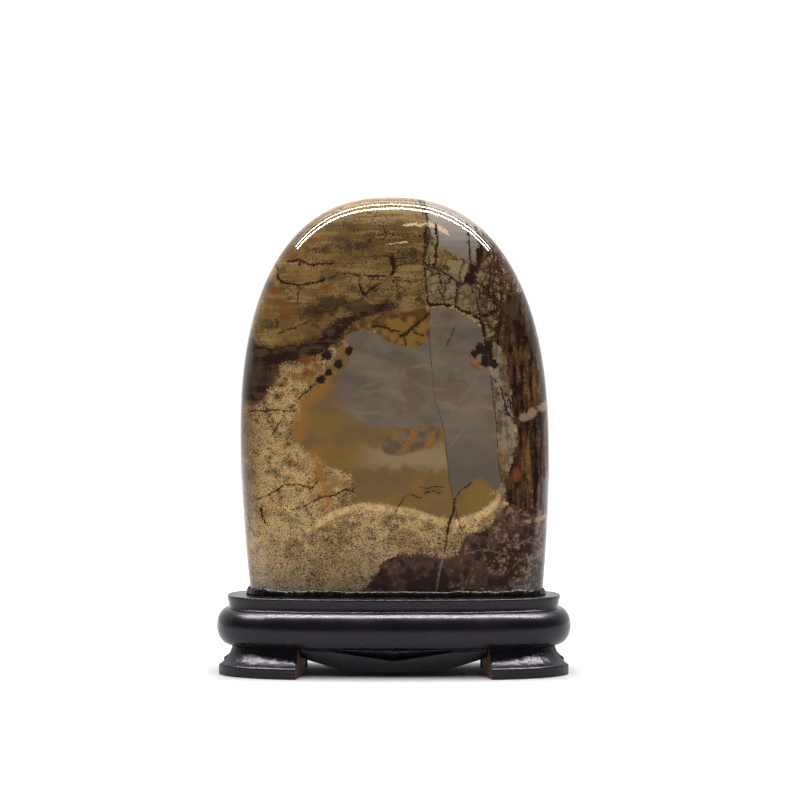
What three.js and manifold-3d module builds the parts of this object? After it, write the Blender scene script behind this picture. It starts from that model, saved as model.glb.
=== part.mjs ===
// A polished picture stone, set upright in the socket of a moulded and lacquered wooden stand.
// Millimetres, +Z up. The origin is on the floor under the middle of the stand.
// The stone's picture face looks along -Y.
import * as THREE from "three";
import { mergeVertices } from "three/addons/utils/BufferGeometryUtils.js";
import Module from "manifold-3d";

// The stone: an arch seen from the front, a thin pillow seen from the side
const STONE_TOP = 236.5;
const STONE_WIDEST_AT = 112;
const STONE_HALF_WIDTH = 77;
const STONE_HALF_THICKNESS = 18;
const STONE_FACE_CROWN = 0.1;
const STONE_ARCH_POWER = 2.4;
const STONE_EDGE_POWER = 9;
const STONE_RIM_START = 0.74;
const STONE_DRAWN_IN = 4.6;
const STONE_BASE_THINNING = 2;
const STONE_LEAN = 0.013;
const STONE_LEAN_ABOUT = 150;

// The stand: four heights, and a plan that is a superellipse
const STAND_TOP = 38.5;
const LIP_FOOT = 32.25;
const BODY_UNDERSIDE = 14;
const SOCKET_FLOOR = 33.5;
const LIP_HALF_WIDTH = 83;
const LIP_HALF_DEPTH = 33;
const PLAN_POWER = 2.9;
const FIT_GAP = 0.3;
const EDGE_EASE = 0.5;

// The moulding's offsets outwards from the lip's outline
const LIP_HOLLOW = -0.9;
const LIP_COVE = [[1, 0], [1, 0.4], [0.6, 0.75]]; // share of the hollow, share of the lip's height
const BULGE_REACH = 5.2;
const BULGE_WIDEST_AT = 23.8;
const BODY_ARRIS = -1;

// The feet: a toe that stands proud and a cove that runs up to a narrow neck
const TOE_REACH = 5.5;
const TOE_HEIGHT = 5.2;
const TOE_ROUND = 0.8;
const NECK_REACH = -1.4;
const NECK_HEIGHT = 11.8;
const FOOT_INNER_FRONT = 46.8;
const FOOT_INNER_BACK = 43.6;
const FOOT_END_AT = 12.5;

// The aprons: a hanging lip between the feet, with a pointed hollow carved in its face
const APRON_HALF_LENGTH = 46;
const APRON_LOWEST = 2.2;
const APRON_SHOULDER = 26.5;
const APRON_SHOULDER_HEIGHT = 3.7;
const APRON_END_HEIGHT = 9.2;
const APRON_FACE = -3;
const APRON_TUCK = 4.5;
const APRON_THICKNESS = 9;
const APRON_BACK_RISE = 1;
const APRON_BELLY = [0.35, 0.45]; // share of the tuck, share of the way up to the ridge
const HOLLOW_HALF_LENGTH = 28;
const HOLLOW_POINT_HEIGHT = 8.6;
const HOLLOW_DEPTH = 2.2;
const HOLLOW_END_DROP = 0.8;
const HOLLOW_SLOPE = [0.9, 0.3]; // share of the depth, share of the way up to the body
const HOLLOW_LEAST = 0.1;

// The bead of dark setting lacquer round the stone's foot
const BEAD_HEIGHT = 2.2;
const BEAD_WIDTH = 1.5;
const BEAD_ROUND = [[0.12, 0.6], [0.55, 0.95]]; // share of the way in, share of the height
const BEAD_HEAP_FROM = 55;
const BEAD_HEAP_RUN = 20;
const BEAD_HEAP_RISE = 1.3;
const BEAD_WAVES = [[0.25, 0.9, 0], [0.2, 2.3, 1]]; // height, turn at each step, turn at the start

// How finely each form is cut into flat faces
const STONE_SIDE_STEPS = 9;
const STONE_ARCH_STEPS = 52;
const STONE_RIM_STEPS = 7;
const STONE_FACE_STEPS = 4;
const PLAN_STEPS = 64;
const BULGE_STEPS = 11;
const FOOT_STEPS = 9;
const COVE_STEPS = 6;
const APRON_STEPS = 24;
const BEAD_STEPS = 72;
const MERGE_WITHIN = 1e-3;

const wasm = await Module();
wasm.setup();

const finish = (color, roughness) => new THREE.MeshStandardMaterial({ color, roughness, metalness: 0 });
const polishedStone = finish(0x8a7350, 0.12);
const blackLacquer = finish(0x17130f, 0.3);
const settingLacquer = finish(0x24180f, 0.35);

// A closed geometry from points and triangles, with doubled points merged and flat triangles dropped.
function closedGeometry(points, triangles) {
  const raw = new THREE.BufferGeometry().setFromPoints(points).setIndex(triangles.flat());
  const merged = mergeVertices(raw, MERGE_WITHIN);
  const index = merged.index.array;
  const kept = [];
  for (let i = 0; i < index.length; i += 3) {
    const [a, b, c] = [index[i], index[i + 1], index[i + 2]];
    if (a !== b && b !== c && c !== a) kept.push(a, b, c);
  }
  return merged.setIndex(kept);
}

// A solid through a row of closed rings of equal length, with a fan over each end ring.
// Each ring runs anticlockwise as seen from the last ring's side.
function loft(rings) {
  const count = rings[0].length;
  const points = rings.flat();
  const triangles = [];
  for (let r = 0; r + 1 < rings.length; r++) {
    for (let k = 0; k < count; k++) {
      const a = r * count + k;
      const b = r * count + ((k + 1) % count);
      triangles.push([a, b, b + count], [a, b + count, a + count]);
    }
  }
  const last = (rings.length - 1) * count;
  for (let k = 1; k + 1 < count; k++) {
    triangles.push([0, k + 1, k], [last, last + k, last + k + 1]);
  }
  return closedGeometry(points, triangles);
}

// A solid swept round a closed path: each section is a closed ring, and the last section meets the first.
function ringSweep(sections) {
  const count = sections[0].length;
  const triangles = [];
  sections.forEach((_, s) => {
    const next = (s + 1) % sections.length;
    for (let k = 0; k < count; k++) {
      const j = (k + 1) % count;
      const [a, b] = [s * count + k, s * count + j];
      const [c, d] = [next * count + j, next * count + k];
      triangles.push([a, c, b], [a, d, c]);
    }
  });
  return closedGeometry(sections.flat(), triangles);
}

function asManifold(geometry) {
  return new wasm.Manifold(
    new wasm.Mesh({
      numProp: 3,
      vertProperties: new Float32Array(geometry.getAttribute("position").array),
      triVerts: new Uint32Array(geometry.index.array),
    }),
  );
}

function cutAway(geometry, cutter) {
  const mesh = asManifold(geometry).subtract(asManifold(cutter)).getMesh();
  const result = new THREE.BufferGeometry();
  result.setAttribute("position", new THREE.BufferAttribute(mesh.vertProperties, 3));
  return result.setIndex(new THREE.BufferAttribute(mesh.triVerts, 1));
}

const signedPower = (value, power) => Math.sign(value) * Math.abs(value) ** power;

// The stone's middle line leans a little to the left as it rises.
const stoneMiddle = (z) => STONE_LEAN * (STONE_LEAN_ABOUT - z);

// Half the stone's width below its widest level, where the sides draw in towards the foot.
function stoneHalfWidth(z) {
  const below = (STONE_WIDEST_AT - z) / (STONE_WIDEST_AT - SOCKET_FLOOR);
  return STONE_HALF_WIDTH - STONE_DRAWN_IN * Math.max(0, below) ** 2;
}

// Half the stone's thickness, where share runs from 0 on the middle line to 1 on the outline.
function stoneHalfThickness(share, z) {
  const below = Math.max(0, (STONE_WIDEST_AT - z) / (STONE_WIDEST_AT - SOCKET_FLOOR));
  const full = STONE_HALF_THICKNESS - STONE_BASE_THINNING * below;
  const crown = 1 + STONE_FACE_CROWN * (1 - share ** 2);
  return full * crown * Math.sqrt(Math.max(0, 1 - share ** STONE_EDGE_POWER));
}

// Shares from the middle line out to the outline: even steps on the face, then even turns round the edge.
function stoneShares() {
  const shares = [];
  for (let i = 0; i < STONE_FACE_STEPS; i++) {
    shares.push((STONE_RIM_START * i) / STONE_FACE_STEPS);
  }
  const startDrop = Math.asin(Math.sqrt(1 - STONE_RIM_START ** STONE_EDGE_POWER));
  for (let i = 0; i <= STONE_RIM_STEPS; i++) {
    const turn = startDrop * (1 - i / STONE_RIM_STEPS);
    shares.push((1 - Math.sin(turn) ** 2) ** (1 / STONE_EDGE_POWER));
  }
  return shares;
}

// Points along one arch, up the right side, over the top and down the left side, at a share of the outline.
function stoneArch(share) {
  const arch = [];
  const rise = STONE_WIDEST_AT - SOCKET_FLOOR;
  for (let i = 0; i < STONE_SIDE_STEPS; i++) {
    const z = SOCKET_FLOOR + (rise * i) / STONE_SIDE_STEPS;
    arch.push([stoneMiddle(z) + share * stoneHalfWidth(z), z]);
  }
  for (let i = 0; i <= STONE_ARCH_STEPS; i++) {
    const turn = (Math.PI * i) / STONE_ARCH_STEPS;
    const across = signedPower(Math.cos(turn), 2 / STONE_ARCH_POWER);
    const up = signedPower(Math.sin(turn), 2 / STONE_ARCH_POWER);
    const z = STONE_WIDEST_AT + share * (STONE_TOP - STONE_WIDEST_AT) * up;
    arch.push([stoneMiddle(z) + share * STONE_HALF_WIDTH * across, z]);
  }
  for (let i = STONE_SIDE_STEPS - 1; i >= 0; i--) {
    const z = SOCKET_FLOOR + (rise * i) / STONE_SIDE_STEPS;
    arch.push([stoneMiddle(z) - share * stoneHalfWidth(z), z]);
  }
  return arch;
}

function makeStone() {
  const shares = stoneShares();
  const arches = shares.map(stoneArch);
  const length = arches[0].length;
  const points = [];
  // The first half of the rows is the front face from the middle out, the rest the back from the rim in.
  const rows = [...shares.keys(), ...[...shares.keys()].reverse()];
  rows.forEach((ring, row) => {
    const side = row < shares.length ? -1 : 1;
    for (const [x, z] of arches[ring]) {
      points.push(new THREE.Vector3(x, side * stoneHalfThickness(shares[ring], z), z));
    }
  });
  const triangles = [];
  for (let row = 0; row + 1 < rows.length; row++) {
    for (let k = 0; k + 1 < length; k++) {
      const a = row * length + k;
      triangles.push([a, a + length, a + length + 1], [a, a + length + 1, a + 1]);
    }
  }
  // The flat foot, cut straight across: strips between the front rows and the back rows, in two halves.
  const backRow = (row) => rows.length - 1 - row;
  for (let row = 0; row + 1 < shares.length; row++) {
    for (const [end, flip] of [[0, false], [length - 1, true]]) {
      const [a, b] = [row * length + end, (row + 1) * length + end];
      const [c, d] = [backRow(row + 1) * length + end, backRow(row) * length + end];
      triangles.push(...(flip ? [[a, b, c], [a, c, d]] : [[a, c, b], [a, d, c]]));
    }
  }
  return closedGeometry(points, triangles);
}

// The stone's section at a height, anticlockwise from above, grown outwards by a clearance.
function stoneSection(z, grown, steps) {
  const section = [];
  for (let i = 0; i < steps; i++) {
    const turn = (2 * Math.PI * i) / steps;
    const share = Math.abs(Math.cos(turn)) ** (2 / STONE_EDGE_POWER);
    const x = stoneMiddle(z) + Math.sign(Math.cos(turn)) * share * stoneHalfWidth(z);
    const y = Math.sign(Math.sin(turn)) * stoneHalfThickness(share, z);
    section.push(new THREE.Vector2(x, y));
  }
  return section.map((point, i) => {
    const before = section[(i + steps - 1) % steps];
    const after = section[(i + 1) % steps];
    const along = after.clone().sub(before).normalize();
    return new THREE.Vector2(point.x + along.y * grown, point.y - along.x * grown);
  });
}

// A point of the stand's plan at a turn, set off outwards from the lip's outline.
function planPoint(turn, reach, z) {
  const x = LIP_HALF_WIDTH * signedPower(Math.cos(turn), 2 / PLAN_POWER);
  const y = LIP_HALF_DEPTH * signedPower(Math.sin(turn), 2 / PLAN_POWER);
  const normal = new THREE.Vector2(
    signedPower(x / LIP_HALF_WIDTH, PLAN_POWER - 1) / LIP_HALF_WIDTH,
    signedPower(y / LIP_HALF_DEPTH, PLAN_POWER - 1) / LIP_HALF_DEPTH,
  ).normalize();
  return new THREE.Vector3(x + normal.x * reach, y + normal.y * reach, z);
}

// The depth of the plan's outline at a place across the stand.
function planDepth(x) {
  return LIP_HALF_DEPTH * (1 - Math.abs(x / LIP_HALF_WIDTH) ** PLAN_POWER) ** (1 / PLAN_POWER);
}

// The body's moulding from its underside to its top: a round bulge, a groove, a lip with a hollow side.
function bodyProfile() {
  const bulgeFoot = BODY_UNDERSIDE + EDGE_EASE;
  const profile = [[BODY_ARRIS - EDGE_EASE, BODY_UNDERSIDE], [BODY_ARRIS, bulgeFoot]];
  for (let i = 1; i < BULGE_STEPS; i++) {
    const z = bulgeFoot + ((LIP_FOOT - bulgeFoot) * (1 - Math.cos((Math.PI * i) / BULGE_STEPS))) / 2;
    const half = z < BULGE_WIDEST_AT ? BULGE_WIDEST_AT - bulgeFoot : LIP_FOOT - BULGE_WIDEST_AT;
    const away = (z - BULGE_WIDEST_AT) / half;
    const base = z < BULGE_WIDEST_AT ? BODY_ARRIS : LIP_HOLLOW;
    profile.push([base + (BULGE_REACH - base) * Math.sqrt(1 - away ** 2), z]);
  }
  const lipHeight = STAND_TOP - LIP_FOOT;
  for (const [depth, height] of LIP_COVE) {
    profile.push([LIP_HOLLOW * depth, LIP_FOOT + lipHeight * height]);
  }
  profile.push([0, STAND_TOP - EDGE_EASE], [-EDGE_EASE, STAND_TOP]);
  return profile;
}

function makeBody() {
  const turns = Array.from({ length: PLAN_STEPS }, (_, i) => (2 * Math.PI * i) / PLAN_STEPS);
  const rings = bodyProfile().map(([reach, z]) => turns.map((turn) => planPoint(turn, reach, z)));
  const socketOutline = stoneSection(STAND_TOP, FIT_GAP, BEAD_STEPS);
  const socket = new THREE.ExtrudeGeometry(new THREE.Shape(socketOutline), {
    depth: 2 * (STAND_TOP - SOCKET_FLOOR),
    bevelEnabled: false,
  });
  socket.deleteAttribute("normal").deleteAttribute("uv");
  socket.translate(0, 0, SOCKET_FLOOR);
  return cutAway(loft(rings), mergeVertices(socket, MERGE_WITHIN));
}

// A foot's moulding from the floor up: a rounded toe, a cove and a straight neck under the body.
function footProfile() {
  const profile = [[TOE_REACH - TOE_ROUND, 0], [TOE_REACH, TOE_ROUND], [TOE_REACH, TOE_HEIGHT]];
  for (let i = 1; i <= COVE_STEPS; i++) {
    const turn = (Math.PI / 2) * (i / COVE_STEPS);
    const reach = NECK_REACH + (TOE_REACH - NECK_REACH) * (1 - Math.sin(turn));
    profile.push([reach, TOE_HEIGHT + (NECK_HEIGHT - TOE_HEIGHT) * (1 - Math.cos(turn))]);
  }
  profile.push([NECK_REACH, BODY_UNDERSIDE]);
  return profile;
}

// The turn at which the plan's outline passes a place across the stand, on its right-hand back quarter.
const turnAtWidth = (x) => Math.acos((x / LIP_HALF_WIDTH) ** (PLAN_POWER / 2));
const turnAtDepth = (y) => Math.asin((y / LIP_HALF_DEPTH) ** (PLAN_POWER / 2));

// A corner block under the body, made for the right-hand back corner and mirrored by the signs.
function makeFoot(sideX, sideY) {
  const first = turnAtDepth(FOOT_END_AT);
  const last = turnAtWidth(FOOT_INNER_FRONT);
  const rings = footProfile().map(([reach, z]) => {
    const ring = [new THREE.Vector3(FOOT_INNER_BACK, FOOT_END_AT, z)];
    for (let i = 0; i <= FOOT_STEPS; i++) {
      ring.push(planPoint(first + ((last - first) * i) / FOOT_STEPS, reach, z));
    }
    ring.forEach((point) => point.set(point.x * sideX, point.y * sideY, z));
    return sideX * sideY > 0 ? ring : ring.reverse();
  });
  return loft(rings);
}

// Where a foot's slanting inner wall stands, at a depth from the stand's middle.
function footInnerWall(depth) {
  const toe = planPoint(turnAtWidth(FOOT_INNER_FRONT), TOE_REACH, 0);
  const share = (depth - FOOT_END_AT) / (toe.y - FOOT_END_AT);
  return FOOT_INNER_BACK + (toe.x - FOOT_INNER_BACK) * share;
}

// The lower edge of an apron: steep near the feet, then a shallow hanging curve.
function apronLowerEdge(x) {
  const away = Math.abs(x);
  if (away < APRON_SHOULDER) {
    return APRON_LOWEST + (APRON_SHOULDER_HEIGHT - APRON_LOWEST) * (away / APRON_SHOULDER) ** 2;
  }
  const share = (away - APRON_SHOULDER) / (APRON_HALF_LENGTH - APRON_SHOULDER);
  return APRON_SHOULDER_HEIGHT + (APRON_END_HEIGHT - APRON_SHOULDER_HEIGHT) * share;
}

// The ridge under the carved hollow: a shallow V whose point hangs in the middle.
function hollowRidge(x) {
  const share = Math.min(1, Math.abs(x) / HOLLOW_HALF_LENGTH);
  return HOLLOW_POINT_HEIGHT + (BODY_UNDERSIDE - HOLLOW_END_DROP - HOLLOW_POINT_HEIGHT) * share;
}

function makeApron(side) {
  const rings = [];
  for (let i = 0; i <= APRON_STEPS; i++) {
    const x = APRON_HALF_LENGTH * (-1 + (2 * i) / APRON_STEPS);
    const low = apronLowerEdge(x);
    const ridge = Math.max(hollowRidge(x), low + APRON_BACK_RISE);
    const carved = HOLLOW_DEPTH * Math.sqrt(Math.max(0, 1 - Math.abs(x) / HOLLOW_HALF_LENGTH));
    const hollow = Math.max(HOLLOW_LEAST, carved);
    const face = planDepth(x) + APRON_FACE;
    const back = planDepth(APRON_HALF_LENGTH) + APRON_FACE - APRON_THICKNESS;
    const section = [
      [back, low + APRON_BACK_RISE],
      [face - APRON_TUCK, low],
      [face - APRON_TUCK * APRON_BELLY[0], low + (ridge - low) * APRON_BELLY[1]],
      [face, ridge],
      [face - hollow * HOLLOW_SLOPE[0], ridge + (BODY_UNDERSIDE - ridge) * HOLLOW_SLOPE[1]],
      [face - hollow, BODY_UNDERSIDE],
      [back, BODY_UNDERSIDE],
    ];
    const ring = section.map(([depth, z]) => {
      const across = (x / APRON_HALF_LENGTH) * (footInnerWall(depth) - FIT_GAP);
      return new THREE.Vector3(across, side * depth, z);
    });
    rings.push(side > 0 ? ring : ring.reverse());
  }
  return loft(rings);
}

// How much taller the bead stands at a point: it is uneven all round and heaped at the left end.
function beadRise(point, i) {
  const heaped = BEAD_HEAP_RISE * Math.max(0, (-point.x - BEAD_HEAP_FROM) / BEAD_HEAP_RUN);
  const waves = BEAD_WAVES.map(([height, turn, start]) => height * Math.sin(turn * i + start));
  return waves.reduce((sum, wave) => sum + wave, heaped);
}

function makeBead() {
  const foot = stoneSection(STAND_TOP, FIT_GAP, BEAD_STEPS);
  const outer = stoneSection(STAND_TOP, FIT_GAP + BEAD_WIDTH, BEAD_STEPS);
  const sections = foot.map((low, i) => {
    const top = STAND_TOP + BEAD_HEIGHT + beadRise(low, i);
    const high = stoneSection(top, FIT_GAP, BEAD_STEPS)[i];
    const at = (point, z) => new THREE.Vector3(point.x, point.y, z);
    const round = BEAD_ROUND.map(([inwards, upwards]) =>
      at(outer[i].clone().lerp(high, inwards), STAND_TOP + upwards * (top - STAND_TOP)),
    );
    return [at(low, STAND_TOP), at(outer[i], STAND_TOP), ...round, at(high, top)];
  });
  return ringSweep(sections);
}

function addPiece(group, name, geometry, material) {
  const mesh = new THREE.Mesh(geometry, material);
  mesh.name = name;
  group.add(mesh);
}

const picturestone = new THREE.Group();
addPiece(picturestone, "stone", makeStone(), polishedStone);
addPiece(picturestone, "setting_bead", makeBead(), settingLacquer);

const stand = new THREE.Group();
addPiece(stand, "stand_body", makeBody(), blackLacquer);
for (const [depthName, sideY] of [["front", -1], ["back", 1]]) {
  for (const [widthName, sideX] of [["left", -1], ["right", 1]]) {
    addPiece(stand, `foot_${depthName}_${widthName}`, makeFoot(sideX, sideY), blackLacquer);
  }
  addPiece(stand, `apron_${depthName}`, makeApron(sideY), blackLacquer);
}
picturestone.add(stand);

export default picturestone;
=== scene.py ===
# %% [markdown]
# # A polished picture stone on a black lacquered stand
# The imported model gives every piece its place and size. This lesson dresses it: each plain solid is replaced by a
# finer mesh of the same form, and each finish is built from nodes, with no picture file.
# All lengths below are written in millimetres, as a maker would, and turned into metres when a mesh is made.

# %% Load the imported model
import math

import bpy
import numpy as np
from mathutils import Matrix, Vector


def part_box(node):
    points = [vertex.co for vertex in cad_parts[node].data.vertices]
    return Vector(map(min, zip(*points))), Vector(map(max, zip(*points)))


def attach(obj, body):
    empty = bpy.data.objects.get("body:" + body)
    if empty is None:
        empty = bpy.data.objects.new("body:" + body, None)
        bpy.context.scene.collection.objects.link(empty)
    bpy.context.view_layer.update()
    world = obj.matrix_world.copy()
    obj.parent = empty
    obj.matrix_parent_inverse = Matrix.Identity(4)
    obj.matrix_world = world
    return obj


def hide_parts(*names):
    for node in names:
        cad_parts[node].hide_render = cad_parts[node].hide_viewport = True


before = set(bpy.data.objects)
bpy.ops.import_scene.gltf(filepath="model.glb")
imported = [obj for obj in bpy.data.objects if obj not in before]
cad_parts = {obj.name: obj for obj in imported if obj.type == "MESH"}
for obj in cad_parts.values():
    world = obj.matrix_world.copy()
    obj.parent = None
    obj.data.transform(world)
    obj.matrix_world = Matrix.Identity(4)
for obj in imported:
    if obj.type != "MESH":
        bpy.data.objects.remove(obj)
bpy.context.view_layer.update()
MM = 0.001
IN_MM = (1 / MM,) * 3
WHITE = (1, 1, 1, 1)
stone_low, stone_high = (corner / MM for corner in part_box("stone"))
body_low, body_high = (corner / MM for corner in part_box("stand_body"))
print("nodes:", ", ".join(sorted(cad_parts)))

# %% [markdown]
# ## The view
# The photograph was taken from straight in front, level with the middle of the stone, with a long lens. A camera of
# 96 mm at just over a metre gives the same perspective. Depth of field stays off, so every view is sharp.

# %% Camera
CAMERA_DISTANCE = 1070
CAMERA_HEIGHT = 135.4
CAMERA_RIGHT = 3.1
CAMERA_LENS = 96.3

camera = bpy.data.objects.new("camera", bpy.data.cameras.new("camera"))
camera.location = (CAMERA_RIGHT * MM, -CAMERA_DISTANCE * MM, CAMERA_HEIGHT * MM)
camera.rotation_euler = (math.pi / 2, 0, 0)
camera.data.lens = CAMERA_LENS
bpy.context.scene.collection.objects.link(camera)
bpy.context.scene.camera = camera
print("camera at", [round(place, 3) for place in camera.location])

# %% [markdown]
# ## A short way to write nodes
# A node tree written call by call is long and hard to read. A Wire stands for one output of a node, and sums of wires
# make Math nodes, so a formula in the script looks like a formula. The same helper serves geometry and shader trees.

# %% Wires and benches
class Wire:
    """One output of a node. Adding, multiplying and so on makes Math nodes."""

    def __init__(self, bench, socket):
        self.bench = bench
        self.socket = socket

    def __add__(self, other):
        return self.bench.sum("ADD", self, other)

    def __sub__(self, other):
        return self.bench.sum("SUBTRACT", self, other)

    def __rsub__(self, other):
        return self.bench.sum("SUBTRACT", other, self)

    def __mul__(self, other):
        return self.bench.sum("MULTIPLY", self, other)

    def __truediv__(self, other):
        return self.bench.sum("DIVIDE", self, other)

    def __rtruediv__(self, other):
        return self.bench.sum("DIVIDE", other, self)

    def __pow__(self, other):
        return self.bench.sum("POWER", self, other)

    def __abs__(self):
        return self.bench.sum("ABSOLUTE", self)

    __radd__ = __add__
    __rmul__ = __mul__


class Bench:
    """A node tree with short calls."""

    def __init__(self, tree):
        self.tree = tree

    def add(self, kind, inputs=None, out=0, **settings):
        """Makes a node, sets its settings, wires or sets its inputs, and returns one output."""
        made = self.tree.nodes.new(kind)
        for name, value in settings.items():
            setattr(made, name, value)
        self.set_inputs(made, inputs or {})
        return Wire(self, made.outputs[out])

    def set_inputs(self, node, inputs):
        """Wires or sets the named inputs of a node."""
        for name, value in inputs.items():
            if isinstance(value, Wire):
                self.tree.links.new(value.socket, node.inputs[name])
            else:
                node.inputs[name].default_value = value

    def sum(self, operation, *values):
        return self.add("ShaderNodeMath", dict(enumerate(values)), operation=operation)

    def clamped(self, value):
        return self.add("ShaderNodeClamp", {"Value": value})

    def ramp(self, value, low, high):
        """0 below low, 1 above high and a smooth step between them."""
        inputs = {"Value": value, "From Min": low, "From Max": high}
        return self.add("ShaderNodeMapRange", inputs, interpolation_type="SMOOTHSTEP")

    def signed_power(self, value, power):
        return self.sum("SIGN", value) * abs(value) ** power

    def vector(self, x, y, z):
        return self.add("ShaderNodeCombineXYZ", {0: x, 1: y, 2: z})

    def parts(self, vector):
        first = self.add("ShaderNodeSeparateXYZ", {0: vector})
        return [Wire(self, socket) for socket in first.socket.node.outputs]

    def stretched(self, vector, scale):
        return self.add("ShaderNodeVectorMath", {0: vector, 1: scale}, operation="MULTIPLY")

    def noise(self, vector, scale, detail=2.0, roughness=0.5, seed=0.0, **more):
        """Fractal noise about zero, another one for each seed. Three scales stretch it."""
        if isinstance(scale, tuple):
            vector = self.stretched(vector, scale)
            scale = 1.0
        inputs = {"Vector": vector, "W": seed, "Scale": scale, "Detail": detail, **more}
        inputs["Roughness"] = roughness
        return self.add("ShaderNodeTexNoise", inputs, noise_dimensions="4D") - 0.5

    def object_mm(self):
        """The place on the object in millimetres."""
        return self.stretched(self.add("ShaderNodeTexCoord", out="Object"), IN_MM)

    def bump(self, height, strength, depth):
        """A normal that shows a height as relief."""
        inputs = {"Strength": strength, "Distance": depth, "Height": height}
        return self.add("ShaderNodeBump", inputs, out="Normal")

    def mix(self, first, second, share):
        """A colour between two colours."""
        inputs = {0: share, 6: first, 7: second}
        return self.add("ShaderNodeMix", inputs, out=2, data_type="RGBA")


def new_material(name):
    """A material with a Principled shader, and a bench to build on."""
    material = bpy.data.materials.new(name)
    material.use_nodes = True
    return material, Bench(material.node_tree), material.node_tree.nodes["Principled BSDF"]


def new_mesh_object(name, points, faces):
    """A smooth mesh object from points in millimetres."""
    mesh = bpy.data.meshes.new(name)
    mesh.from_pydata((np.asarray(points) * MM).tolist(), [], [list(map(int, face)) for face in faces])
    mesh.update()
    mesh.shade_smooth()
    made = bpy.data.objects.new(name, mesh)
    bpy.context.scene.collection.objects.link(made)
    return made


print("benches ready")

# %% [markdown]
# ## The stone's form
# The stone was sawn, ground to an arch and polished. Its face is a shallow pillow and its edge turns over in a round
# of about 13 mm. Both follow from one number, the share: 0 on the middle line and 1 on the outline.
# A grid of squares wrapped on the arch keeps its cells even, which a grid of rings and spokes does not, and even cells
# carry the figure's fields well. The front and back grids share their outermost line, so the skin is closed.

# %% Stone mesh
STONE_WIDEST_AT = 112
STONE_HALF_WIDTH = 77
STONE_HALF_THICKNESS = 18
STONE_FACE_CROWN = 0.1
STONE_ARCH_POWER = 2.4
STONE_EDGE_POWER = 9
STONE_RIM_START = 0.74
STONE_DRAWN_IN = 4.6
STONE_BASE_THINNING = 2
STONE_LEAN = 0.013
STONE_LEAN_ABOUT = 150
STONE_FACE_STEPS = 72
STONE_RIM_STEPS = 38
STONE_LOWER_ROWS = 98
ARCH_STEPS = 2001
STONE_TOP = stone_high.z
STONE_FOOT = stone_low.z


def stone_below(z):
    return np.maximum(0, (STONE_WIDEST_AT - z) / (STONE_WIDEST_AT - STONE_FOOT))


def stone_middle(z):
    return STONE_LEAN * (STONE_LEAN_ABOUT - z)


def stone_half_width(z):
    return STONE_HALF_WIDTH - STONE_DRAWN_IN * stone_below(z) ** 2


def stone_half_thickness(share, z):
    full = STONE_HALF_THICKNESS - STONE_BASE_THINNING * stone_below(z)
    crown = 1 + STONE_FACE_CROWN * (1 - share**2)
    return full * crown * np.sqrt(np.maximum(0, 1 - share**STONE_EDGE_POWER))


def stone_shares():
    """Even steps across the face, then even turns round the edge."""
    face = np.linspace(0, STONE_RIM_START, STONE_FACE_STEPS, endpoint=False)
    drop = math.asin(math.sqrt(1 - STONE_RIM_START**STONE_EDGE_POWER))
    turns = np.linspace(drop, 0, STONE_RIM_STEPS + 1)
    return np.concatenate([face, np.cos(turns) ** (2 / STONE_EDGE_POWER)])


def stone_grid():
    """Arrays of share, x and z for one face of the stone, row by row from the foot to the top."""
    shares = stone_shares()
    last = len(shares) - 1
    columns = np.arange(-last, last + 1)
    across = np.sign(columns) * shares[abs(columns)]
    rows_z = np.linspace(STONE_FOOT, STONE_WIDEST_AT, STONE_LOWER_ROWS, endpoint=False)
    lower_share = np.tile(abs(across), (len(rows_z), 1))
    lower_z = np.tile(rows_z[:, None], (1, len(columns)))
    lower_x = stone_middle(lower_z) + across * stone_half_width(lower_z)
    # The upper half: square rings of the grid become arches, with points at even lengths along each arch
    turns = np.linspace(0, math.pi, ARCH_STEPS)
    arch_x = np.sign(np.cos(turns)) * abs(np.cos(turns)) ** (2 / STONE_ARCH_POWER) * STONE_HALF_WIDTH
    arch_z = np.sin(turns) ** (2 / STONE_ARCH_POWER) * (STONE_TOP - STONE_WIDEST_AT)
    along = np.concatenate([[0], np.cumsum(np.hypot(np.diff(arch_x), np.diff(arch_z)))])
    i, j = np.meshgrid(columns, np.arange(last + 1))
    ring = np.maximum(abs(i), j)
    step = np.where(j >= abs(i), ring + (ring - i), np.where(i > 0, j, 4 * ring - j))
    length = along[-1] * step / np.maximum(1, 4 * ring)
    upper_share = shares[ring]
    upper_z = STONE_WIDEST_AT + upper_share * np.interp(length, along, arch_z)
    upper_x = stone_middle(upper_z) + upper_share * np.interp(length, along, arch_x)
    pairs = [(lower_share, upper_share), (lower_x, upper_x), (lower_z, upper_z)]
    return [np.concatenate(pair) for pair in pairs]


def stone_mesh():
    share, x, z = stone_grid()
    depth = stone_half_thickness(share, z)
    rows, columns = share.shape
    front = np.arange(rows * columns).reshape(rows, columns)
    back = front + rows * columns
    rim = share >= 1
    back[rim] = front[rim]
    points = np.concatenate([np.stack([x, side * depth, z], -1).reshape(-1, 3) for side in (-1, 1)])
    def quads(grid):
        return np.stack([grid[:-1, :-1], grid[:-1, 1:], grid[1:, 1:], grid[1:, :-1]], -1).reshape(-1, 4)
    foot = np.stack([back[0, :-1], back[0, 1:], front[0, 1:], front[0, :-1]], -1)
    faces = np.concatenate([quads(front), quads(back)[:, ::-1], foot])
    used = np.unique(faces)
    renumbered = np.zeros(len(points), int)
    renumbered[used] = np.arange(len(used))
    tidy = [list(dict.fromkeys(face)) for face in renumbered[faces].tolist()]
    return points[used], tidy


stone = new_mesh_object("picture_stone", *stone_mesh())
print("stone:", len(stone.data.polygons), "faces")

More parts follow.
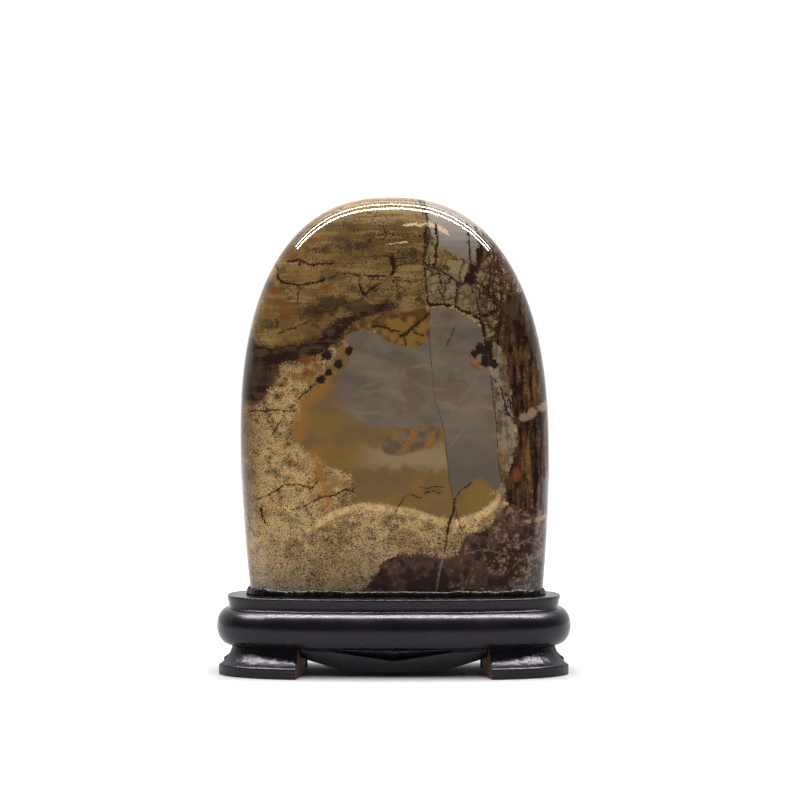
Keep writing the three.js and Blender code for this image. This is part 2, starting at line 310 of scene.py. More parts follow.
# %% [markdown]
# ## The stone's figure
# The picture in the stone is a section through layers: an open grey field over an olive one, sandy ground full of fine
# mineral specks, dark iron bands, a dark base and a web of thin cracks. Painting it as an image would fix its sharpness
# and its place. Instead a few given outlines, in millimetres on the face, say where each layer lies. From them
# each point of the mesh gets its distance to an outline, and the material turns distances into layers with soft,
# grainy or feathered edges. A distance changes evenly across a face of the mesh, so an edge stays crisp between points.

# %% Figure coordinates
SLANT_ACROSS = 0.22
SLANT_UP = -0.3
FACE_FRONT = stone_low.y
FACE_CURVE = 3
CORNER_CUT = 0.25
FAR_AWAY = 1e6
TINY = 1e-6

stone_points = np.array([vertex.co for vertex in stone.data.vertices]) / MM
depth_in = np.maximum(0, stone_points[:, 1] - FACE_FRONT - FACE_CURVE)
figure_x = stone_points[:, 0] + SLANT_ACROSS * depth_in
figure_z = stone_points[:, 2] + SLANT_UP * depth_in


def keep_figure(name, values):
    """Stores one number for each point of the stone, for the material to read."""
    attribute = stone.data.attributes.new(f"figure_{name}", "FLOAT", "POINT")
    attribute.data.foreach_set("value", np.asarray(values, np.float32))


def cut_corners(outline):
    """A closed outline with its corners cut once, so that it reads as a curve."""
    outline = np.asarray(outline, float)
    after = np.roll(outline, -1, axis=0)
    step = CORNER_CUT * (after - outline)
    return np.stack([outline + step, after - step], 1).reshape(-1, 2)


def near_segment(start, end):
    """Distance of every point to a segment, and its distance to one side of the segment's line."""
    along = np.subtract(end, start)
    length = max(TINY, np.hypot(*along))
    along = along / length
    away_x = figure_x - start[0]
    away_z = figure_z - start[1]
    run = np.clip(away_x * along[0] + away_z * along[1], 0, length)
    distance = np.hypot(away_x - run * along[0], away_z - run * along[1])
    return distance, away_z * along[0] - away_x * along[1]


def depth_inside(outline):
    """Distance to a closed outline, above zero inside it."""
    outline = cut_corners(outline)
    nearest = np.full(len(figure_x), FAR_AWAY)
    inside = np.zeros(len(figure_x), bool)
    for start, end in zip(outline, np.roll(outline, -1, axis=0)):
        nearest = np.minimum(nearest, near_segment(start, end)[0])
        if start[1] != end[1]:
            crossing = start[0] + (figure_z - start[1]) * (end[0] - start[0]) / (end[1] - start[1])
            inside ^= ((start[1] > figure_z) != (end[1] > figure_z)) & (figure_x < crossing)
    return np.where(inside, nearest, -nearest)


print("figure on", len(stone_points), "points")

# %% Layers of the figure
LAYERS = {
    "grey": [
        (-29, 143), (-25, 149), (-22, 154), (-20.5, 159), (-23, 163.5), (-24, 167), (-19, 169.5), (-9, 169),
        (-4, 164.5), (3, 161.8), (10, 161), (17.6, 163.5), (17.7, 180), (24, 181.5), (30, 180), (35, 177),
        (40, 173.5), (44, 170), (45.5, 163), (47.5, 150), (48.2, 142), (49.2, 134), (50.3, 126), (51, 116),
        (51.5, 106), (53.5, 91.5), (48, 91), (46, 96), (42, 98.5), (38, 94.5), (33, 92), (30, 87),
        (28.3, 92), (26.5, 104), (25, 114), (23.5, 122), (10, 121.5), (0, 121.5), (-10, 121), (-19, 125),
        (-27, 132),
    ],
    "olive": [
        (-26, 162), (-30, 157), (-33, 150), (-37, 142), (-42, 137), (-45.5, 132), (-46, 124), (-50, 118),
        (-46, 112), (-38, 108), (-35.5, 103), (-30, 101.5), (-21, 99), (-18, 94), (-19, 88), (-22, 84.5),
        (-15, 85), (-8, 84), (0, 83), (10, 81), (16, 79), (22, 77.5), (30, 77), (36, 77.5), (41, 79),
        (45, 82), (48, 87), (49, 92), (53, 100), (51, 125), (30, 150), (-10, 160),
    ],
    "upper": [
        (-90, 158), (-62, 157), (-45, 158), (-36, 160), (-28, 163), (-18, 167), (-5, 172), (5, 174),
        (17, 174), (16, 200), (15.5, 213), (17, 224), (17, 250), (-90, 250),
    ],
    "cells": [
        (15, 250), (15, 207), (15.5, 198), (17, 183), (26, 182), (35, 179), (43, 174), (47, 166), (52, 168),
        (58, 175), (62, 188), (64, 205), (60, 250),
    ],
    "cap": [
        (17.5, 250), (17.5, 222), (20, 214.5), (22, 211.5), (27, 208.5), (33, 205), (38, 203.5), (42, 207),
        (44, 212), (47, 217), (48, 250),
    ],
    "cream": [(51, 186), (55, 187), (60, 188), (64, 190), (62, 199), (58, 207), (52, 208), (50.5, 198)],
    "branched": [
        (30, 184), (38, 178), (46, 168), (56, 172), (75, 180), (72, 195), (60, 212), (46, 216), (40, 206),
        (34, 200),
    ],
    "lobe": [
        (-25, 163), (-22, 171), (-14, 176), (-8, 168), (-3, 164), (2, 162), (8, 161), (13, 161.5),
        (17.5, 163), (17.5, 181), (12, 180), (4, 178), (-5, 179),
    ],
    "band": [
        (-90, 166), (-71, 163.5), (-62, 162), (-55, 162.5), (-45, 164), (-38, 165.5), (-35, 169),
        (-31, 173), (-26, 176), (-20, 178.5), (-14, 181), (-8, 183.5), (-3, 184.5), (3, 183), (2, 180),
        (-5, 178.5), (-12, 176), (-18, 173.5), (-22, 170), (-25, 165), (-29, 161.5), (-34, 158.5),
        (-40, 156), (-47, 154), (-55, 153), (-58, 148), (-60, 141), (-63, 136), (-68, 132), (-90, 130),
    ],
    "veil": [
        (-43, 181), (-35, 184), (-28, 187), (-22, 186), (-15, 184), (-10, 182), (-10, 177), (-16, 177),
        (-24, 179), (-30, 178), (-36, 177), (-44, 175.5), (-52, 172),
    ],
    "mauve": [
        (-22, 36), (-13, 45), (-9, 50), (-6, 55), (-2, 58.5), (8, 60), (15, 60), (20, 58), (26, 57),
        (30, 58.5), (32.5, 63), (34.5, 68), (39, 70.5), (46, 72), (49, 77), (53, 80), (54.5, 86), (95, 90),
        (95, 20), (-22, 20),
    ],
    "right": [
        (46, 163), (49, 168), (51, 174), (53, 182), (56, 187), (62, 187), (70, 186), (95, 190), (95, 78),
        (54.5, 82), (55, 95), (57, 103), (60, 110), (61, 118), (59, 124), (58, 130), (58, 137), (57, 143),
        (55.5, 150), (54, 158), (50, 164),
    ],
    "strip": [
        (46, 162), (50, 164), (55, 158), (56.5, 150), (58, 143), (58.5, 135), (58.5, 128), (60, 120),
        (61, 112), (58, 104), (56, 96), (54.5, 84), (48, 78), (45, 82), (53.5, 92), (51.5, 106),
        (50.3, 126), (48.2, 142),
    ],
    "ridge": [
        (-45, 70), (-38, 75), (-33, 79.5), (-27, 82), (-20, 84), (-14, 85), (-7, 84), (0, 83), (6, 82.5),
        (12, 81), (18, 79), (24, 77), (30, 76.5), (36, 78), (42, 80.5), (48, 84), (52, 91), (53, 87),
        (50, 81), (43, 76.5), (36, 74), (30, 73), (23, 73.5), (16, 76), (9, 78), (0, 79.5), (-8, 80.5),
        (-15, 81.5), (-22, 80), (-29, 77.5), (-35, 74), (-39, 70.5),
    ],
    "ellipse": [
        (-7, 112), (-4, 116.5), (2, 120), (9, 122), (17, 122.8), (23, 122), (23.5, 118.5), (20, 114),
        (15, 111), (9, 109.5), (2, 108), (-4, 108.5),
    ],
}
for name, outline in LAYERS.items():
    keep_figure(name, depth_inside(outline))
print("layers:", ", ".join(LAYERS))

# %% Blots of the figure
BLOTS = {
    "dark": [
        (-22, 160, 2.3, 2.6), (-27, 153.5, 2.8, 2.6), (-32, 149, 1.6, 1.6), (-36, 145.5, 2.9, 2.7),
        (-33, 157, 3, 2.6), (39.5, 158, 2.6, 3), (43, 160, 3, 3.4), (45.5, 155.5, 3.6, 4.6),
        (49, 153, 3, 2.6), (47, 162, 2.4, 3.6), (40, 200, 3.2, 2.6), (37.5, 195, 3.6, 3),
        (42.5, 207, 1.6, 4), (44, 213, 1.4, 3.5),
    ],
    "white": [
        (64.5, 127, 3.4, 2.6), (68.5, 128, 4, 3.3), (76, 130, 5, 3), (67, 75, 2.5, 1.4), (74, 75, 6, 2.2),
    ],
    "rust": [
        (-55, 182, 7, 5), (-51, 177, 6, 4), (-58, 188, 4, 3), (-33, 191, 6, 3), (37.5, 195, 3, 2.6),
        (37, 186, 2.6, 2.6), (42, 153, 5, 2.4), (27.5, 160, 0.9, 0.9), (52, 111, 1.6, 3.5),
        (-42, 155, 6, 3), (-40, 149, 7, 4), (61, 98, 3, 6),
    ],
    "gold": [
        (-52, 167, 16, 4), (-8, 172, 6, 4), (8, 166, 9, 4), (-45, 146, 10, 6), (-30, 206, 20, 2.5),
        (-46, 208, 6, 5), (25, 206, 9, 3), (-28, 95, 9, 4), (-44, 197, 12, 3),
    ],
    "gilt": [(63, 157, 6, 6), (66, 105, 3, 18), (54, 108, 4, 7), (52, 85, 4, 6), (70, 140, 2, 12)],
    "smudge": [
        (-27, 214, 7, 3.4), (-19, 220, 8, 3.4), (-33, 209, 6, 3), (-68, 147, 10, 11), (-77, 118, 5, 10),
        (-72, 97, 5, 7), (-74, 85, 5, 5), (-60, 190, 4, 5), (-46, 179, 7, 4), (-30, 184, 9, 3),
        (-20, 190, 6, 3), (-31, 195, 8, 3.4), (57, 178, 8, 10), (60, 196, 6, 5),
    ],
    "grey_fade": [(-26, 132, 22, 22)],
    "moss": [
        (-2, 214, 17, 7), (5, 206, 12, 5), (-18, 208, 12, 6), (-5, 189, 18, 5), (-38, 206, 9, 4),
        (-60, 172, 4, 3),
    ],
}

BLOT_REACH = 3


def blot_depth(blots):
    """1 in the middle of the nearest soft oval, 0 at its edge and below zero outside."""
    depths = [1 - np.hypot((figure_x - x) / wide, (figure_z - z) / high) for x, z, wide, high in blots]
    return np.maximum(np.max(depths, axis=0), -BLOT_REACH)


for name, blots in BLOTS.items():
    keep_figure(name, blot_depth(blots))
print("blots:", ", ".join(f"{len(blots)} {name}" for name, blots in BLOTS.items()))

# %% Cracks and veins of the figure
VEINS = {
    "dark": [
        (0.4, [(17.5, 232), (17, 224), (15.5, 215), (15, 207), (15.5, 198), (16.5, 188), (17, 183)]),
        (0.45, [(29.8, 86), (29.5, 80), (27.5, 75), (26, 67), (25, 61)]),
        (0.3, [(29.8, 84), (31, 79), (32.5, 74), (34, 70)]),
        (0.4, [(30, 86), (33, 91), (38, 94.5)]),
        (0.6, [(-51, 202.3), (-46, 203.7), (-43.5, 203)]),
        (0.5, [(-46, 201.8), (-40, 202), (-35, 202.3), (-29, 202.7)]),
        (0.55, [(-56, 199), (-56, 194), (-53, 192.5), (-46, 192), (-41, 193), (-37, 193.5), (-34, 195)]),
        (0.4, [(-34, 195), (-30, 195.5), (-27, 197), (-22, 197.3), (-15, 196.7), (-8, 196.5), (2, 195.5)]),
        (0.8, [(-0.5, 206), (-0.3, 203), (0, 200.5), (-0.3, 197.5)]),
        (0.3, [(-4, 206), (3, 205), (8, 205.5)]),
        (0.3, [(0, 201), (5, 202), (11, 203), (15, 204)]),
        (0.4, [
            (-17.5, 196), (-17, 192), (-15.5, 188.5), (-14, 187), (-13, 188.5), (-10, 191), (-7, 192.5),
        ]),
        (0.3, [(-7, 192.5), (-2, 193.8), (4, 194.2), (10, 193.5), (16, 193)]),
        (0.3, [(-46.5, 192), (-46.8, 187), (-47.5, 183)]),
        (0.35, [(-56, 168.5), (-50, 170.5), (-45, 172), (-40, 175)]),
        (0.5, [(-10, 171.5), (-5, 171.5), (-1, 169.5), (3, 169)]),
        (0.5, [(1, 164), (6, 168.5), (10, 172), (14, 174.5), (17, 178)]),
        (0.4, [(5, 168), (6, 163)]),
        (0.3, [(10, 169), (14, 167)]),
        (0.3, [(30, 171.5), (28.5, 168), (26.5, 163)]),
        (0.6, [(21.5, 221), (21.5, 213), (20.7, 209), (21, 205), (20.3, 202)]),
        (0.35, [(17.5, 222), (18, 219), (17, 213), (15.5, 207)]),
        (0.4, [(38, 220), (37.8, 212), (38, 204), (38.3, 201)]),
        (1.0, [(42.5, 218), (44, 213), (44.2, 208), (43, 204), (41, 201), (39, 199), (37, 195)]),
        (0.5, [
            (37, 195), (40, 194), (43, 192), (46.5, 190), (46.8, 186), (49, 184.5), (52, 181.5), (51, 179),
        ]),
        (0.5, [(51, 179), (48, 177), (44, 176), (42, 177)]),
        (0.4, [(46.5, 215), (45.5, 211), (48, 208), (48.5, 203), (48, 198), (47.5, 192), (46.8, 188)]),
        (0.35, [(45, 203), (47, 206)]),
        (0.5, [(53, 205), (52.5, 199), (53, 194), (52.5, 189), (53, 185), (52, 181)]),
        (0.4, [(46.8, 187), (54, 186.5), (57, 187.5), (60, 188)]),
        (0.45, [
            (15, 202), (19, 200.5), (22, 199.5), (26, 197), (29, 195.5), (31, 193), (33, 192), (37, 194),
        ]),
        (0.2, [(18, 192.5), (23, 192.5), (27, 192.5), (27.5, 195)]),
        (0.4, [(31, 192), (31, 188), (30.5, 184), (30, 182)]),
        (0.2, [(21, 198), (24, 193)]),
        (0.3, [(22, 190), (24, 186)]),
        (0.35, [(38, 193), (38.7, 189), (39.5, 187.5), (46.5, 188)]),
        (0.35, [(40, 187), (41.5, 182), (42.5, 178.5)]),
        (0.9, [
            (18, 182), (22, 182.5), (26, 182), (30, 181), (33, 179.5), (37, 178), (40, 176), (43, 173.5),
        ]),
        (0.8, [(43, 173.5), (44.5, 170), (45, 164), (45.5, 160)]),
        (0.4, [(42.5, 177), (47, 178.5), (51, 180)]),
        (0.4, [(50, 171), (53, 172), (56, 174)]),
        (0.4, [(52, 181), (54, 178), (58, 175), (60, 170)]),
        (0.35, [(-38, 144), (-42, 140), (-46, 137), (-48, 135)]),
        (0.35, [(-70, 129), (-65, 130), (-60, 130.5), (-54, 130), (-50, 129.5), (-48, 130.5)]),
        (0.3, [(-55, 126), (-57, 123), (-59, 119.5)]),
        (0.35, [
            (-66, 86.5), (-62, 88.5), (-57, 91.5), (-53, 93.8), (-48, 94), (-44, 93), (-40, 91.8),
            (-37, 96),
        ]),
        (0.35, [(-44, 83), (-40, 85.5), (-36, 87.5), (-32, 88), (-28, 89), (-24, 91.5), (-20, 90.5)]),
        (0.7, [(-65, 81), (-64.5, 78), (-63.5, 75)]),
        (0.25, [(0.5, 79.5), (2, 83), (4, 86), (6, 88.5)]),
        (0.3, [(13, 92.5), (17, 92), (20, 93), (24, 92.5)]),
        (0.3, [(16, 90), (19, 90.5), (23, 89.5)]),
        (0.3, [(6, 88), (9, 89), (13, 87.5)]),
        (0.6, [(-6, 233), (-4, 235), (-1, 234)]),
        (0.5, [(15.5, 231), (18, 233)]),
        (0.5, [(53, 141), (54, 136), (55.5, 130), (57, 127)]),
        (0.5, [(56, 138), (57.5, 133), (58, 126)]),
    ],
    "hair": [
        (0.22, [
            (17.5, 183), (17.5, 165), (18, 158), (19, 148), (19.5, 141), (20.5, 135), (22, 130), (24, 124),
            (25.5, 113), (26.5, 104), (27.3, 97), (28.5, 91), (29.8, 85),
        ]),
        (0.3, [
            (44, 171), (45.5, 163), (47.5, 150), (48.2, 142), (49.2, 134), (50.3, 126), (51, 116),
            (51.2, 109), (51.8, 103), (53, 96),
        ]),
    ],
    "orange": [
        (0.35, [(5, 111), (7, 116), (9, 121)]),
        (0.35, [(7, 109.5), (8, 114), (10, 121)]),
        (0.3, [(10, 121), (10.3, 115)]),
        (0.3, [(12, 111), (16, 113), (20, 120)]),
        (0.3, [(14, 111), (19, 115), (21, 121.5)]),
        (0.3, [(1, 119), (3, 115), (6, 112)]),
        (0.7, [(-34, 143), (-37, 139), (-41, 136), (-44.5, 133), (-45.5, 128), (-45, 122), (-47, 118)]),
        (0.6, [(-40, 108.5), (-37, 104), (-36.5, 99), (-35.5, 95), (-34.5, 91), (-33, 87), (-32.5, 84)]),
        (0.5, [(38, 157), (40, 153.5), (43, 151.5), (46, 150)]),
    ],
    "pale": [
        (0.6, [(5, 221), (10, 221.5), (14, 221), (18, 222)]),
        (1.0, [(17, 221.5), (20, 221), (22, 220.5), (27, 217)]),
        (0.4, [(-3, 212), (1, 212.5), (6, 213)]),
    ],
    "faint": [
        (0.3, [(43, 149), (34, 137), (26, 126)]),
        (0.3, [(40, 128), (33, 119), (28, 113)]),
        (0.25, [(-6, 157), (2, 163)]),
        (0.5, [(25, 60), (23.5, 55), (22, 48), (21, 42)]),
        (0.3, [(36, 60), (44, 62), (52, 60)]),
        (0.3, [(56, 50), (62, 56), (70, 58)]),
        (0.3, [(58, 62), (66, 66), (73, 65)]),
    ],
}


def vein_fields(veins):
    """For every point: distance to the nearest vein, signed distance across it, and its half width."""
    nearest = np.full(len(figure_x), FAR_AWAY)
    across = np.zeros(len(figure_x))
    half_width = np.zeros(len(figure_x))
    for half, path in veins:
        for start, end in zip(path[:-1], path[1:]):
            distance, side = near_segment(start, end)
            closer = distance < nearest - TINY
            tied = (abs(distance - nearest) <= TINY) & (abs(side) > abs(across))
            better = closer | tied
            signed = np.copysign(distance, side)
            nearest = np.where(better, distance, nearest)
            across = np.where(better, signed, across)
            half_width = np.where(better, half, half_width)
    return nearest, across, half_width


for name, veins in VEINS.items():
    for kind, values in zip(("near", "across", "half"), vein_fields(veins)):
        keep_figure(f"{name}_{kind}", values)
print("veins:", ", ".join(f"{len(veins)} {name}" for name, veins in VEINS.items()))

# %% [markdown]
# ## The stone's finish
# The face is polished like glass, so the gloss is even and all the interest is in the colour. Each layer is laid over
# the ones below it, as a painter glazes: the mask is the layer's distance plus noise, and the noise decides the edge.
# Fine noise gives grain, slow noise gives waves, and noise stretched along the bedding gives feathers.
# Colours are named by the 0 to 255 values that the eye compares on a screen and turned into linear light.

# %% Noise for the stone
FACE_GAIN = 0.69


def pigment(red, green, blue):
    """A linear colour that comes out as these screen values on the lit face."""
    shares = [value / 255 for value in (red, green, blue)]
    linear = [share / 12.92 if share <= 0.04045 else ((share + 0.055) / 1.055) ** 2.4 for share in shares]
    return (*[value / FACE_GAIN for value in linear], 1)


polished_stone, paint, stone_shader = new_material("polished_stone")
stone_mm = paint.object_mm()
stone_x, _, stone_z = paint.parts(stone_mm)
grain = paint.noise(stone_mm, 1.1, detail=2.0, seed=1.0)
crumbs = paint.noise(stone_mm, 0.75, detail=3.0, roughness=0.65, seed=2.0)
specks = paint.noise(stone_mm, 2.1, detail=1.0, seed=7.0)
waves = paint.noise(stone_mm, 0.22, detail=3.0, seed=3.0)
clouds = paint.noise(stone_mm, 0.06, detail=3.0, seed=4.0)
bedding = paint.noise(stone_mm, (0.05, 0.1, 0.4), detail=4.0, roughness=0.6, seed=5.0)
upright = paint.noise(stone_mm, (0.5, 0.25, 0.06), detail=4.0, roughness=0.6, seed=6.0)
wisps = paint.noise(stone_mm, (0.05, 0.1, 0.14), detail=4.0, seed=8.0, Distortion=0.8)
print("noise fields: grain, crumbs, specks, waves, clouds, bedding, upright, wisps")

# %% Helpers that lay colour over colour
VEIN_REACH = 1.7
VEIN_CLEAR = 1.1
ramp = paint.ramp


def over(under, tone, mask):
    """A tone, or a pigment's three screen values, laid over a colour through a mask."""
    return paint.mix(under, tone if isinstance(tone, Wire) else pigment(*tone), mask)


def figure(name):
    return paint.add("ShaderNodeAttribute", attribute_name=f"figure_{name}", out="Fac")


def tones(first, second, field, low=-0.08, high=0.08):
    """Two pigments shared out by a noise field."""
    return paint.mix(pigment(*first), pigment(*second), ramp(field, low, high))


def layer_mask(name, soft=0.5, grainy=0.0, wavy=0.0, feathered=0.0):
    edge = figure(name)
    for field, amount in ((grain, grainy), (waves, wavy), (bedding, feathered)):
        if amount:
            edge = edge + field * amount
    return ramp(edge, -soft, soft)


def vein_mask(name, soft=0.22, wander=2.2):
    """A thin line: inside the half width, and not on the far side of another vein."""
    half = figure(f"{name}_half") * (0.85 + grain * 3.5 + waves * 2.5)
    across = abs(figure(f"{name}_across") + crumbs * wander + waves * wander)
    return ramp(half - across, -soft, soft) * ramp(figure(f"{name}_near"), VEIN_REACH, VEIN_CLEAR)


def speckled(colour, speck, share):
    """Mineral specks under a millimetre across, more of them where share is high."""
    return over(colour, speck, ramp(specks + share, 0.02, 0.1))


print("layer helpers ready")

# %% Sandy ground and the banded upper field
sand = tones((180, 150, 101), (148, 119, 76), clouds + waves * 0.6)
sand = over(sand, (140, 122, 96), ramp(stone_z + clouds * 60, 76, 36))
left_pale = ramp(stone_x + clouds * 40, -36, -60)
sand = over(sand, (184, 152, 104), left_pale * ramp(stone_z, 70, 95) * 0.6)
sand = over(sand, (166, 136, 106), ramp(wisps + waves * 0.5, 0.03, 0.16) * ramp(stone_z, 96, 66) * 0.8)
sand = over(sand, (124, 108, 76), ramp(waves * 0.8 - wisps, 0.04, 0.2) * 0.7)
rim_dark = ramp(stone_x + waves * 26 + crumbs * 14, -63, -75) * ramp(stone_z, 62, 84)
sand = over(sand, (86, 75, 54), rim_dark * 0.8)
stained = ramp(waves - clouds + bedding * 0.5, 0.02, 0.2) * ramp(stone_z, 78, 105)
sand = over(sand, (150, 108, 56), stained * 0.75)
ground = speckled(sand, (64, 52, 34), waves * 0.22 + clouds * 0.1 + 0.025 - left_pale * 0.015)
ochre = tones((110, 84, 46), (144, 115, 70), bedding + clouds + waves * 0.6, -0.14, 0.16)
ochre = over(ochre, (62, 48, 34), ramp(waves + bedding * 0.6 - clouds, 0.07, 0.24) * 0.75)
# Painted reflection: the top rim is painted paler, standing in for the overhead lamps' sheen there, on top of their
# real reflection
ochre = over(ochre, (165, 137, 95), ramp(stone_z + waves * 30, 218, 232))
laminae = paint.noise(stone_mm, (0.04, 0.1, 0.8), detail=3.0, seed=10.0, Distortion=0.6)
ochre = over(ochre, (88, 64, 36), ramp(laminae, 0.05, 0.15) * 0.6)
ochre = over(ochre, (158, 128, 80), ramp(laminae, -0.08, -0.18) * 0.6)
moss = layer_mask("moss", soft=0.6, wavy=1.5)
mossy = speckled(ochre, (54, 43, 31), moss * 0.11 + waves * 0.5 - 0.06)
clumps = ramp(crumbs + waves * 1.1 + bedding * 0.4, 0.13, 0.22) * ramp(stone_z, 74, 96)
ground = over(ground, (60, 46, 30), clumps * left_pale * 0.8)
colour = over(ground, mossy, layer_mask("upper", soft=2.0, wavy=6.0, feathered=6.0))
print("ground laid")

# %% Cells, cap and cream of the upper right
cell_tone = tones((138, 119, 84), (116, 104, 80), clouds + waves)
cell_tone = speckled(cell_tone, (74, 56, 36), waves * 0.4 - 0.1)
colour = over(colour, cell_tone, layer_mask("cells", soft=0.6, wavy=2.0))
cell_vector = paint.stretched(stone_mm, (0.15, 0.12, 0.12))
cell_shake = paint.vector(waves, grain, crumbs)
shaken = paint.add("ShaderNodeVectorMath", {0: cell_vector, 1: cell_shake}, operation="ADD")


def cell_edge(scale):
    """Distance to the edges between shaken Voronoi cells."""
    inputs = {"Vector": shaken, "Scale": scale}
    return paint.add("ShaderNodeTexVoronoi", inputs, feature="DISTANCE_TO_EDGE", out="Distance")


crack = ramp(cell_edge(1.0) + waves * 0.3, 0.09, 0.02)
colour = over(colour, (56, 33, 21), crack * layer_mask("cells", soft=2.0, wavy=4.0) * 0.85)
cap_tone = tones((120, 112, 102), (162, 150, 138), stone_z + bedding * 20, 206, 226)
colour = over(colour, cap_tone, layer_mask("cap", soft=0.8, wavy=2.5))
cream_tone = tones((146, 126, 98), (118, 98, 72), waves)
cream_tone = speckled(cream_tone, (56, 36, 24), upright * 0.5 + waves * 0.4 + 0.03)
colour = over(colour, cream_tone, layer_mask("cream", soft=0.8, wavy=4.0))
branches = ramp(cell_edge(2.0) + waves * 0.5 + upright * 0.3, 0.2, 0.06)
branched = ramp(stone_x + waves * 30, 36, 48) * layer_mask("branched", soft=3.0, wavy=6.0)
colour = over(colour, tones((46, 26, 17), (82, 48, 26), crumbs), branches * branched)
print("upper right laid")

# %% Olive field, gold and the open grey field
olive_tone = tones((118, 91, 49), (107, 85, 54), clouds + wisps, -0.15, 0.15)
tan_band = ramp(abs(stone_z - 107 + waves * 12), 9, 2)
olive_tone = over(olive_tone, (134, 114, 84), tan_band * ramp(stone_x, -24, -4))
brown_band = ramp(abs(stone_z - 98.5 + waves * 10), 5, 1)
olive_tone = over(olive_tone, (102, 76, 44), brown_band * 0.4)
colour = over(colour, olive_tone, layer_mask("olive", soft=1.6, wavy=4.0, grainy=9.0))
halo = ramp(figure("orange_near"), 6.0, 0.5) * ramp(stone_x, -20, -30)
colour = over(colour, (146, 100, 48), halo * 0.55)
gold_tone = tones((138, 104, 52), (112, 84, 44), waves + bedding)
colour = over(colour, gold_tone, ramp(figure("gold") + waves * 1.6 + grain * 0.5, 0.0, 0.8) * 0.8)
lobe_tone = tones((128, 94, 47), (86, 62, 30), waves + clouds + ramp(stone_z, 168, 180) * 0.2)
colour = over(colour, lobe_tone, layer_mask("lobe", soft=0.7, wavy=2.0, feathered=2.0))
grey_tone = tones((112, 99, 86), (102, 88, 74), clouds + waves * 0.3, -0.15, 0.15)
grey_tone = over(grey_tone, (124, 108, 93), ramp(wisps, 0.02, 0.16) * 0.7)
grey_tone = over(grey_tone, (90, 80, 70), ramp(wisps, -0.04, -0.16) * 0.6)
grey_tone = over(grey_tone, (90, 82, 74), ramp(stone_z + clouds * 30, 126, 98))
fade = ramp(figure("grey_fade"), 0.0, 1.0) * 7 + 0.35
grey_edge = figure("grey") + waves * 1.2
grey_mask = ramp(grey_edge, 0 - fade, fade)
colour = over(colour, grey_tone, grey_mask)
print("fields laid")

# %% Dark bands, right side and base
iron = tones((40, 26, 19), (72, 54, 39), waves + bedding * 1.2, -0.04, 0.14)
colour = over(colour, iron, layer_mask("band", soft=1.8, grainy=8.0, wavy=6.0, feathered=5.0))
colour = over(colour, iron, layer_mask("veil", soft=1.5, grainy=5.0, wavy=11.0, feathered=9.0) * 0.8)
strip_tone = tones((128, 116, 98), (104, 88, 66), waves + upright)
strip_tone = speckled(strip_tone, (56, 40, 26), waves * 0.7 - 0.06)
colour = over(colour, strip_tone, layer_mask("strip", soft=0.5, grainy=2.5, wavy=3.0))
mauve_tone = tones((44, 31, 27), (70, 52, 44), waves + clouds)
fleck = ramp(crumbs + waves * 0.6 + ramp(stone_x, 20, 60) * 0.1, 0.12, 0.22)
mauve_tone = over(mauve_tone, (132, 106, 84), fleck * 0.7)
colour = over(colour, mauve_tone, layer_mask("mauve", soft=0.6, grainy=6.0, wavy=5.0))
side_tone = tones((32, 20, 14), (70, 47, 33), upright + waves * 0.5)
side_gold = ramp(upright * 0.7 + crumbs * 0.8, 0.06, 0.16)
side_tone = over(side_tone, (116, 86, 50), side_gold * 0.8)
colour = over(colour, side_tone, layer_mask("right", soft=0.6, grainy=5.0, wavy=5.0))
gilt = ramp(figure("gilt") + crumbs * 2.4 + upright * 2.0, 0.0, 0.7)
colour = over(colour, tones((122, 90, 46), (92, 66, 36), waves), gilt * 0.6)
print("dark layers laid")

# %% Ridge, stain and blots
ridge_tone = speckled(tones((200, 170, 118), (176, 146, 98), waves), (92, 76, 54), waves * 0.3 - 0.03)
colour = over(colour, ridge_tone, layer_mask("ridge", soft=0.8, grainy=2.0, wavy=2.5) * 0.85)
stain = tones((92, 76, 60), (112, 92, 66), waves)
colour = over(colour, stain, layer_mask("ellipse", soft=1.0, wavy=2.0))
colour = over(colour, (66, 53, 39), ramp(figure("smudge") + waves * 1.6 + grain, 0.0, 0.9) * 0.8)
colour = over(colour, (112, 66, 28), ramp(figure("rust") + waves * 2.0 + grain * 0.6, 0.1, 0.8) * 0.8)
colour = over(colour, (134, 116, 92), ramp(figure("white") + crumbs * 1.6 + waves, 0.0, 0.5) * 0.85)
colour = over(colour, (40, 27, 22), ramp(figure("dark") + crumbs * 1.8 + waves * 1.6, 0.0, 0.22))
print("blots laid")

# %% Veins and gloss
STONE_ROUGHNESS = 0.045
STONE_SPECULAR = 0.42
POLISH_SCALE = 0.09
POLISH_STRENGTH = 1.0
POLISH_DEPTH = 0.0001

fringe = ramp(crumbs - figure("dark_near") * 0.05, -0.02, 0.06) * ramp(figure("dark_near"), 3.0, 0.8)
fringe = fringe * (1 - grey_mask) * (ramp(stone_z, 125, 160) * 0.5 + 0.15)
colour = over(colour, (62, 38, 23), fringe)
colour = over(colour, (214, 192, 154), vein_mask("pale"))
colour = over(colour, (130, 116, 100), vein_mask("faint") * 0.45)
colour = over(colour, (142, 94, 42), vein_mask("orange", wander=1.2))
colour = over(colour, (58, 48, 40), vein_mask("hair", soft=0.2, wander=0.4) * 0.85)
colour = over(colour, (40, 24, 16), vein_mask("dark"))
polish = paint.noise(stone_mm, POLISH_SCALE, detail=1.0, seed=9.0)
stone_finish = {
    "Base Color": colour,
    "Roughness": STONE_ROUGHNESS,
    "Specular IOR Level": STONE_SPECULAR,
    "Normal": paint.bump(polish, POLISH_STRENGTH, POLISH_DEPTH),
}
paint.set_inputs(stone_shader, stone_finish)
stone.data.materials.append(polished_stone)
print("stone material:", len(polished_stone.node_tree.nodes), "nodes")

